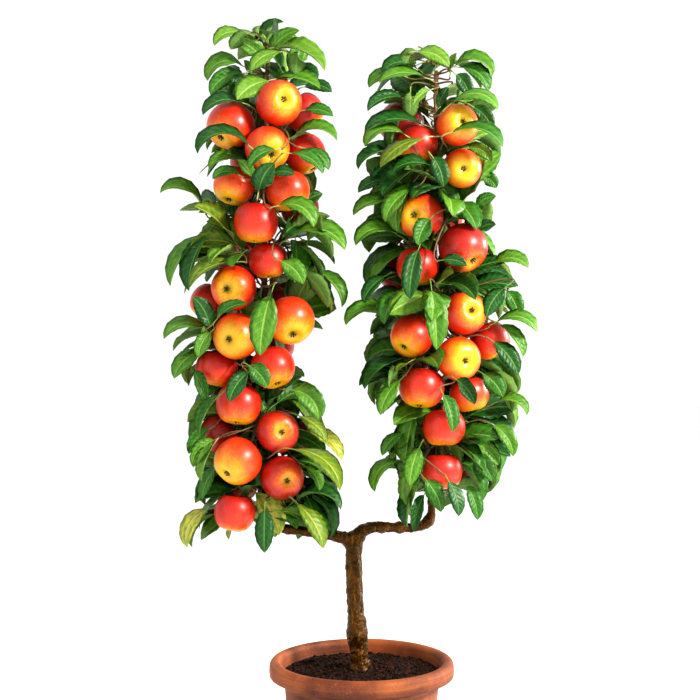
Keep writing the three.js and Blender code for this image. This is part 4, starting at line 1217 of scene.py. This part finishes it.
def growStem(space, site):
    foot, head, rise = site["foot"], site["head"], up * spurs["stemBow"]
    path = bezier(foot, mix(foot, head, 0.4) + rise, mix(foot, head, 0.8) + rise * 0.5, head, spurs["rings"])
    knobbly = 1 + 0.1 * np.sin(np.arange(spurs["rings"]) * 2.4)
    radii = np.linspace(spurs["stemRadius"], spurs["headRadius"], spurs["rings"]) * knobbly
    space["twigs"].append({"path": path, "radii": radii, "kind": "spur"})


# A shoot and its fine twigs stay only where leaves found room on them.
def growShoot(space, site, number):
    path = growTwig(space, site["head"], site["outward"], number * spurs["turn"], shoots)
    if path is None:
        return
    axis = unit(path[-1] - path[0])
    leaves = growRosette(space, path[-1], axis, shoots["endLeaves"])
    for j in range(shoots["sideLeaves"]):
        leaves += growRosette(space, path[2 + j], axis, 1)
    for j in range(fineTwigs["count"]):
        fine = growTwig(space, path[3 + j], axis, j * fineTwigs["turn"], fineTwigs)
        if fine is not None and growRosette(space, fine[-1], unit(fine[-1] - fine[0]), fineTwigs["endLeaves"]):
            addTwig(space, fine, fineTwigs)
            leaves += 1
    if leaves:
        addTwig(space, path, shoots)


def growColumn(side, column, wood, woodRadii):
    fruit, sites = fruitOf(column), spurSites(column)
    shown = [one for one in fruit if one["front"]]
    space = {
        "chance": random.Random(column["seed"]), "side": side, "column": column, "sites": sites, "fruit": fruit,
        "centres": [], "leaves": [], "twigs": [], "wood": wood, "woodRadii": woodRadii,
    }
    for balls, radii, ones in (("balls", "ballRadii", fruit), ("shown", "shownRadii", shown)):
        space[balls] = np.array([one["centre"] for one in ones])
        space[radii] = np.array([one["radius"] for one in ones], float)
    for row in showLeaves[side]:
        growShowLeaf(space, row)
    for site in sites:
        space["outward"], space["pull"] = site["outward"], site["pull"]
        if not site["terminal"]:
            growStem(space, site)
        growRosette(space, site["head"], site["outward"], leafGrowth["knobLeaves"])
        for k in range(shoots["count"]):
            growShoot(space, site, k)
    print("  ", side, len(space["leaves"]), "leaves,", len(fruit), "apples,", len(space["twigs"]), "twigs")
    return space


wood = woodBeads()
grown = {side: growColumn(side, column, *wood) for side, column in columns.items()}
allMasses = [f"foliage_{side}_{k:02d}" for side in columns for k in range(1, spurs["count"] + 2)]

print("leaves")
leafShape = {
    "rows": 12, "columns": 4, "thickness": 0.45, "ridge": 0.45, "seed": 41, "narrowest": 0.5, "widest": 0.64,
    "sway": 0.16, "roll": 0.24, "turnFoot": 0.35, "turnRise": 1.6, "notch": 0.035, "ripples": 9, "offBeat": 2.1,
    "margin": 0.02,
    "spreads": [(0.12, 0.6), (-0.5, 0.8), (0.2, 1.6), (0, 6.3)],  # fold, curl, wave and its phase
    "outline": [
        (0, 0.02), (0.083, 0.43), (0.167, 0.7), (0.25, 0.87), (0.333, 0.96), (0.417, 1.0), (0.5, 1.0),
        (0.583, 0.97), (0.667, 0.9), (0.75, 0.79), (0.833, 0.62), (0.917, 0.36), (1, 0.02),
    ],
}
# Tints are dealt out to whole leaves: blade, patches, rib and underside, then how often each tint
# comes low down and high up. The deep tint is partly painted shade and comes more often low down;
# the fresh tint is partly painted light and comes more often high up.
leafTints = {
    # dark green, partly painted shade
    "Deep": ((20, 70, 20), (32, 88, 24), (92, 138, 54), (78, 114, 48), 3.6, 1.6),
    "Mid": ((40, 96, 20), (60, 116, 28), (112, 152, 60), (88, 122, 52), 3.6, 3.0),
    # light green, partly painted light
    "Fresh": ((64, 116, 22), (88, 136, 34), (134, 168, 72), (98, 130, 58), 1.7, 3.0),
    "Young": ((88, 132, 32), (108, 148, 46), (150, 178, 90), (116, 144, 72), 0.3, 1.0),
    "Olive": ((114, 132, 30), (78, 116, 28), (160, 168, 70), (126, 138, 64), 0.7, 0.2),
    "Yellow": ((186, 180, 66), (116, 146, 50), (206, 196, 104), (170, 166, 84), 0.35, 0.05),
}
yellowing = {"left": 1.0, "right": 0.25}


def leafMaterial(name, plain, patch, veined, under):
    material = startMaterial(name, Specular_IOR_Level=0.35)
    uv, u, v = uvOf(material)
    isBack = u.math("GREATER_THAN", 0.5)
    across = (u - isBack * 0.5 - 0.25).math("ABSOLUTE") / 0.23
    line = ((v * 8.5 - across * 1.7).math("FRACT") - 0.5).math("ABSOLUTE")
    veins = line.step(0.03, 0.12, 1.0, 0.0) * across.step(0.4, 1.0, 0.6, 0.15)
    rib, edge = across.step(0.035, 0.1, 1.0, 0.0), across.step(0.9, 1.0)
    clouds = uv.stretched(9, 4, 1).grain(1.3, 4)
    blade = layered(
        plain, (clouds.step(0.4, 0.62), patch), (veins * 0.45, veined), (rib * 0.9, veined), (edge * 0.4, veined),
    )
    back = layered(under, (rib.math("MAXIMUM", veins * 0.7), veined))
    roughness = (isBack + clouds * 0.2).step(0, 1.2, 0.4, 0.8)
    return finished(material, layered(blade, (isBack, back)), line * 1.2 + rib * -0.8, 0.5, 0.0012, roughness)


# The blade's half width along its length, as a share of the widest.
def bladeOutline(t):
    return np.interp(t, *zip(*leafShape["outline"]))


# The faces of one blade, whose upper side has all the points and whose underside only the inner ones.
def bladeFaces():
    rows, columnCount, margin = leafShape["rows"], leafShape["columns"], leafShape["margin"]
    wide = columnCount + 1
    upper = np.arange((rows + 1) * wide).reshape(rows + 1, wide)
    under = upper.copy()
    under[:, 1:-1] = (rows + 1) * wide + np.arange((rows + 1) * (wide - 2)).reshape(rows + 1, wide - 2)
    quads, uvs = [], []
    for k in range(rows):
        low, high = (margin + (1 - 2 * margin) * row / rows for row in (k, k + 1))
        for i in range(columnCount):
            left, right = (margin + (0.5 - 2 * margin) * one / columnCount for one in (i, i + 1))
            quads.append([upper[k, i], upper[k, i + 1], upper[k + 1, i + 1], upper[k + 1, i]])
            uvs.append([(left, low), (right, low), (right, high), (left, high)])
            quads.append([under[k, i], under[k + 1, i], under[k + 1, i + 1], under[k, i + 1]])
            uvs.append([(left + 0.5, low), (left + 0.5, high), (right + 0.5, high), (right + 0.5, low)])
    return np.array(quads), np.array(uvs)


# The widths to draw for seeded leaves. A show leaf has its own, and neither sways nor rolls by chance.
def leafWidth(leaf, chance):
    blade = leaf["length"] - leaf["petiole"]
    return leaf.get("width") or blade * between(chance, leafShape["narrowest"], leafShape["widest"])


# All leaves of one tint at once: t goes along the rib from petiole to tip.
def leafSheet(heap, leaves, chance):
    rows, columnCount, count = leafShape["rows"], leafShape["columns"], len(leaves)
    heading, root, length, drop, petiole, roll = (
        np.array([leaf[key] for leaf in leaves]) for key in ("heading", "root", "length", "drop", "petiole", "roll")
    )
    fold, curl, wave, phase = (
        np.array([between(chance, least, most) for _ in leaves]) for least, most in leafShape["spreads"]
    )
    steady = np.array(["width" in leaf for leaf in leaves])
    sway = np.where(steady, 0, [chance.gauss(0, leafShape["sway"]) for _ in leaves])
    roll = roll + np.where(steady, 0, [chance.gauss(0, leafShape["roll"]) for _ in leaves])
    width = np.array([leafWidth(leaf, chance) for leaf in leaves]) / 2
    t = np.linspace(0, 1, rows + 1)
    side = np.cross(heading, up)
    side /= np.linalg.norm(side, axis=1)[:, None]
    normal = np.cross(side, heading)
    ahead, lifted, beside = heading[:, None], normal[:, None], side[:, None]
    bend = bendAlong(drop[:, None], t[None])[..., None]
    forward = ahead * np.cos(bend) - lifted * np.sin(bend) + beside * (sway[:, None] * t[None])[..., None]
    plainLift = ahead * np.sin(bend) + lifted * np.cos(bend)
    turnIn = (roll[:, None] * np.minimum(1, leafShape["turnFoot"] + leafShape["turnRise"] * t[None]))[..., None]
    across = beside * np.cos(turnIn) + plainLift * np.sin(turnIn)
    lift = plainLift * np.cos(turnIn) - beside * np.sin(turnIn)
    firstBend = bendAlong(drop, 0)[:, None]
    direction = heading * np.cos(firstBend) - normal * np.sin(firstBend)
    base = root + direction * petiole[:, None]
    steps = (forward[:, 1:] + forward[:, :-1]) / 2 * ((length - petiole) / rows)[:, None, None]
    spine = base[:, None] + np.concatenate([np.zeros((count, 1, 3)), np.cumsum(steps, axis=1)], axis=1)
    outline = bladeOutline(t)[None]
    reach = width[:, None] * outline * (1 + leafShape["notch"] * np.where(np.arange(rows + 1) % 2, 1, -1)[None])
    tops = []
    for value in np.linspace(-1, 1, columnCount + 1):
        bendAcross = (fold + curl * abs(value) * 0.5)[:, None]
        beat = t[None] * leafShape["ripples"] + phase[:, None] + (leafShape["offBeat"] if value > 0 else 0)
        ripple = np.sin(beat) * outline
        rise = abs(value) * reach * np.sin(bendAcross) + wave[:, None] * abs(value) ** 2 * ripple
        tops.append(spine + across * (value * reach * np.cos(bendAcross))[..., None] + lift * rise[..., None])
    tops = np.stack(tops, axis=2)
    inner = tops[:, :, 1:-1] - lift[:, :, None] * leafShape["thickness"]
    inner[:, :, columnCount // 2 - 1] -= lift * leafShape["ridge"] * (1 - t)[None, :, None]
    points = np.concatenate([tops.reshape(count, -1, 3), inner.reshape(count, -1, 3)], axis=1)
    quads, uvs = bladeFaces()
    allQuads = quads[None] + (np.arange(count) * points.shape[1])[:, None, None]
    pile(heap, points.reshape(-1, 3), allQuads.reshape(-1, 4), np.tile(uvs, (count, 1, 1)))
    return base, direction


petioleShape = {"foot": 1.275, "top": 0.7225, "sides": 5, "rings": 5, "intoBlade": 3, "paleFrom": 0.72}
petioleHeaps = {"Green": newHeap(), "Pale": newHeap()}


def addPetiole(leaf, base, direction):
    pale = leaf["share"] > petioleShape["paleFrom"] or leaf["tint"] in ("Young", "Yellow")
    start, rings = leaf["root"], petioleShape["rings"]
    span = np.linalg.norm(base - start)
    early, late = start + leaf["heading"] * span * 0.3 + up * span * 0.1, base - direction * span * 0.25
    path = bezier(start, early, late, base + direction * petioleShape["intoBlade"], rings)
    radii = np.linspace(petioleShape["foot"], petioleShape["top"], rings)
    tube(petioleHeaps["Pale" if pale else "Green"], path, radii, petioleShape["sides"])


def dealTints():
    chance = random.Random(leafShape["seed"])
    dealt = {name: [] for name in leafTints}
    for side, space in grown.items():
        for leaf in space["leaves"]:
            weights = [
                mix(low, high, leaf["share"]) * (yellowing[side] if name in ("Olive", "Yellow") else 1)
                for name, (*_, low, high) in leafTints.items()
            ]
            dealt[leaf.setdefault("tint", chance.choices(list(leafTints), weights)[0])].append(leaf)
    return dealt


def makeLeaves():
    chance = random.Random(leafShape["seed"] + 1)
    for name, leaves in dealTints().items():
        heap = newHeap()
        for leaf, base, direction in zip(leaves, *leafSheet(heap, leaves, chance)):
            addPetiole(leaf, base, direction)
        makePiece(f"leaves{name}", heap, leafMaterial(f"leaf{name}", *leafTints[name][:4]), allMasses)


makeLeaves()

print("stalks and twigs")
# Each piece of stems: its slot, its two colours, its roughness and how its grain is stretched.
stems = {
    "petiolesGreen": ("foliage", (84, 128, 46), (122, 152, 66), 0.5, (3, 30, 1)),
    "petiolesPale": ("foliage", (146, 168, 92), (184, 188, 126), 0.5, (3, 30, 1)),
    "spurWood": ("bark", (72, 50, 28), (116, 90, 56), 0.7, (4, 9, 1)),
    "youngShoots": ("bark", (96, 74, 42), (130, 110, 68), 0.6, (3, 12, 1)),
    "appleCalyxes": ("foliage", (52, 44, 20), (96, 84, 42), 0.8, (6, 2, 1)),
    "appleStalks": ("foliage", (98, 82, 44), (138, 122, 70), 0.55, (2, 8, 1)),
    "fruitSpurs": ("bark", (88, 68, 44), (136, 112, 78), 0.7, (4, 9, 1)),
}
twigShape = {"sides": {"spur": 14, "shoot": 9, "fine": 7}, "knobs": 3, "seed": 7}
knobShape = {"smallest": 3.6, "largest": 6.2, "spread": 2.4, "rows": 7, "sides": 12}
budShape = {"size": 1.7, "rows": 5, "sides": 7}


def makeStems(name, heap):
    slotName, first, second, roughness, scale = stems[name]
    material = startMaterial(name, Roughness=roughness)
    clouds = uvOf(material)[0].stretched(*scale).grain(1.0, 4, 0.65)
    colour = layered(first, (clouds.step(0.38, 0.64), second))
    makePiece(name, heap, finished(material, colour, clouds, 0.4, 0.0008), allMasses)


def lump(heap, centre, radius, chance, shape):
    rows = shape["rows"]
    profile = [(math.sin(k / rows * math.pi), -math.cos(k / rows * math.pi)) for k in range(1, rows)]
    stretch = np.array([between(chance, 0.8, 1.2) for _ in range(3)])
    turn = chance.random() * 6.3

    def placed(points, angles):
        ridge = 1 + 0.09 * np.sin(points[..., 2:] * 9 + turn) + 0.06 * np.sin(points[..., :1] * 5 + turn)
        return points * radius * stretch * ridge + centre

    turned(heap, profile, shape["sides"], placed)


def makeTwigs():
    chance = random.Random(twigShape["seed"])
    old, young = newHeap(), newHeap()
    for twig in [twig for space in grown.values() for twig in space["twigs"]]:
        path, radii, kind = twig["path"], twig["radii"], twig["kind"]
        tube(old if kind == "spur" else young, path, radii, twigShape["sides"][kind])
        if kind != "spur":
            lump(young, path[-1], radii[-1] * budShape["size"], chance, budShape)
            continue
        for _ in range(twigShape["knobs"]):
            offset = np.array([chance.gauss(0, knobShape["spread"]) for _ in range(3)])
            size = between(chance, knobShape["smallest"], knobShape["largest"])
            lump(old, path[-1] + offset, size, chance, knobShape)
    makeStems("spurWood", old)
    makeStems("youngShoots", young)


for tone, heap in petioleHeaps.items():
    makeStems(f"petioles{tone}", heap)
makeTwigs()

print("apples")
appleShape = {
    "around": 44, "along": 27, "seed": 19, "shortest": 0.95, "tallest": 1.05, "mostLean": 0.05,
    "lobes": 5, "lobeDepth": 0.014, "lobeRise": 0.005, "lobesFrom": 0.35, "lobesOver": 0.5,
}
# From the stalk's hollow, over the shoulder and the belly, to the calyx: radius and height.
appleOutline = [
    (0.03, 0.44), (0.08, 0.48), (0.16, 0.60), (0.28, 0.72), (0.44, 0.79), (0.62, 0.76), (0.82, 0.60),
    (0.96, 0.32), (1.0, 0.02), (0.97, -0.26), (0.86, -0.52), (0.70, -0.72), (0.53, -0.82), (0.38, -0.85),
    (0.25, -0.81), (0.15, -0.74), (0.08, -0.70), (0.03, -0.69),
]
# From the shoulder down to the base, then the streaks, and how far up the red ends. After that,
# how often each comes in front and behind. The dark tint is partly painted shade, dealt out mostly to the apples
# behind.
appleTints = {
    "Bright": (
        (172, 22, 9), (206, 45, 12), (224, 91, 13), (231, 138, 12), (228, 168, 14), (168, 18, 12), 0.0, 5, 3,
    ),
    "Golden": (
        (194, 36, 11), (219, 66, 14), (230, 108, 15), (233, 150, 14), (230, 176, 17), (194, 30, 14), -0.04, 3, 1,
    ),
    # darker red, partly painted shade for the apples in the crown's shade
    "Dark": (
        (140, 15, 8), (178, 29, 11), (207, 68, 14), (224, 125, 15), (220, 158, 20), (122, 10, 8), 0.08, 1, 3,
    ),
}
appleMarks = {"russet": (150, 118, 48), "calyx": (146, 144, 44), "freckle": (250, 206, 130)}


def appleMaterial(name, shoulder, blush, warm, gold, base, streak, ends):
    material = startMaterial(name, Coat_Weight=0.12, Coat_Roughness=0.26)
    _, u, rise = uvOf(material)
    v = rise * -1 + 1.0  # nought at the stalk, one at the calyx
    turn, slope = u * (2 * math.pi), v * math.pi
    east, north = (turn.math(wave) * slope.math("SINE") for wave in ("COSINE", "SINE"))
    globe = east.into("CombineXYZ", {0: east, 1: north, 2: slope.math("COSINE")})
    clouds, streaks = globe.grain(1.6, 4), globe.stretched(7, 7, 0.9).grain(1.6, 4, 0.6)
    ring = v + (clouds - 0.5) * 0.26 + (streaks - 0.5) * 0.18 - (east * 0.05 + ends)
    hollow = (v + streaks * 0.08).step(0.1, 0.2, 1.0, 0.0)
    colour = layered(
        shoulder, (ring.step(0.33, 0.61), blush), (ring.step(0.6, 0.76), warm), (ring.step(0.7, 0.84), gold),
        (ring.step(0.78, 0.91), base), (streaks.step(0.5, 0.7, 0, 0.65) * ring.step(0.5, 0.8, 1, 0), streak),
        (hollow * 0.7, appleMarks["russet"]), (v.step(0.88, 0.96) * 0.65, appleMarks["calyx"]),
        (globe.dots(9.0).step(0.06, 0.13, 0.45, 0.0) * v.step(0.2, 0.3), appleMarks["freckle"]),
    )
    return finished(material, colour, clouds, 0.08, 0.002, clouds.step(0.3, 0.7, 0.34, 0.46))


def smoothOutline(outline, count):
    points = np.array(outline)
    walked = walkAlong(points)
    places = np.linspace(0, walked[-1], count)
    return np.stack([np.interp(places, walked, points[:, k]) for k in range(2)], 1)


def turnTo(look, spin):
    quaternion = Vector((0, 0, -1)).rotation_difference(Vector(look))
    return np.array(quaternion.to_matrix() @ Matrix.Rotation(spin, 3, "Z"))


def addApple(heaps, outline, apple, matrix, chance):
    tall = between(chance, appleShape["shortest"], appleShape["tallest"])
    lean = between(chance, 0, appleShape["mostLean"])

    def placed(points, angles):  # five lobes about the calyx, and a slight lean
        low = np.clip((-points[..., 2] - appleShape["lobesFrom"]) / appleShape["lobesOver"], 0, 1)
        lobes = low * np.cos(appleShape["lobes"] * angles)
        girth = 1 + appleShape["lobeDepth"] * lobes + lean * np.cos(angles)
        made = points * np.stack([girth, girth, np.full(girth.shape, tall)], -1)
        made[..., 2] -= appleShape["lobeRise"] * lobes
        return (made * apple["radius"]) @ matrix.T + apple["centre"]

    # the dark tint, partly painted shade, goes mostly to the apples behind
    weights = [tint[-2 if apple["front"] else -1] for tint in appleTints.values()]
    name = chance.choices(list(appleTints), weights)[0]
    turned(heaps[name], outline[::-1], appleShape["around"], placed)


calyxShape = {
    "sepals": 5, "scatter": 0.3, "foot": (0.03, -0.69), "knee": (0.11, -0.79), "tipOut": (0.02, 0.1),
    "tipHeight": -0.87, "widths": [1.2, 1.7, 1.5, 0.9, 0.25], "flatness": [1, 0.7, 0.35, 0.7],
}
stalkShape = {
    "radii": [1.725, 1.5, 1.425, 1.425, 1.5, 1.575, 1.8, 2.4], "sides": 7, "hollow": 0.42, "out": 0.34, "length": 11,
    "bending": 0.35, "shortestSpur": 4, "spurRadii": [2.3, 2.9, 3.0, 2.7, 2.6, 2.8, 3.0, 3.1, 3.2], "spurSides": 9,
}


def addCalyx(heap, apple, matrix, chance):
    for k in range(calyxShape["sepals"]):
        angle = k / calyxShape["sepals"] * 2 * math.pi + chance.random() * calyxShape["scatter"]
        outward, sideways = outwards(angle), outwards(angle + math.pi / 2)
        tipOut = between(chance, *calyxShape["tipOut"])
        places = (calyxShape["foot"], calyxShape["knee"], (tipOut, calyxShape["tipHeight"]))
        start, middle, end = (outward * out + up * height for out, height in places)
        path = np.array([start, mix(start, middle, 0.5), middle, mix(middle, end, 0.5), end]) * apple["radius"]
        radii = np.outer(calyxShape["widths"], calyxShape["flatness"])
        tube(heap, path @ matrix.T + apple["centre"], radii, 4, matrix @ sideways)


# The stalk bends towards the nearest spur, and a fruit spur takes over from its end.
def addStalk(stalks, fruitWood, apple, sites):
    look, radius, centre = apple["look"], apple["radius"], apple["centre"]
    hollow = centre - look * radius * stalkShape["hollow"]
    end = hollow - look * (radius * stalkShape["out"] + stalkShape["length"])
    stem = centre - look * radius * 0.6

    def farFrom(site):
        return np.linalg.norm(site["head"] - stem) + spurs["tipPenalty"] * site["terminal"]

    head = min(sites, key=farFrom)["head"]
    towards = unit(head - end)
    bending = unit(mix(-look, towards, stalkShape["bending"]))
    end = hollow + bending * np.linalg.norm(end - hollow)
    path = bezier(hollow, hollow - look * radius * 0.3, end - bending * 4, end, len(stalkShape["radii"]))
    tube(stalks, path, stalkShape["radii"], stalkShape["sides"])
    span = np.linalg.norm(head - end)
    if span > stalkShape["shortestSpur"]:
        early, late = end + bending * span * 0.3, head - towards * span * 0.3
        path = bezier(end - bending * 1.5, early, late, head, len(stalkShape["spurRadii"]))
        tube(fruitWood, path, stalkShape["spurRadii"], stalkShape["spurSides"])


def makeApples():
    chance = random.Random(appleShape["seed"])
    heaps = {name: newHeap() for name in appleTints}
    calyxes, stalks, fruitWood = newHeap(), newHeap(), newHeap()
    outline = smoothOutline(appleOutline, appleShape["along"])
    for space in grown.values():
        for apple in space["fruit"]:
            matrix = turnTo(apple["look"], chance.random() * 6.3)
            addApple(heaps, outline, apple, matrix, chance)
            addCalyx(calyxes, apple, matrix, chance)
            addStalk(stalks, fruitWood, apple, space["sites"])
    for name, heap in heaps.items():
        makePiece(f"apples{name}", heap, appleMaterial(f"apple{name}", *appleTints[name][:7]), allMasses)
    makeStems("appleCalyxes", calyxes)
    makeStems("appleStalks", stalks)
    makeStems("fruitSpurs", fruitWood)


makeApples()
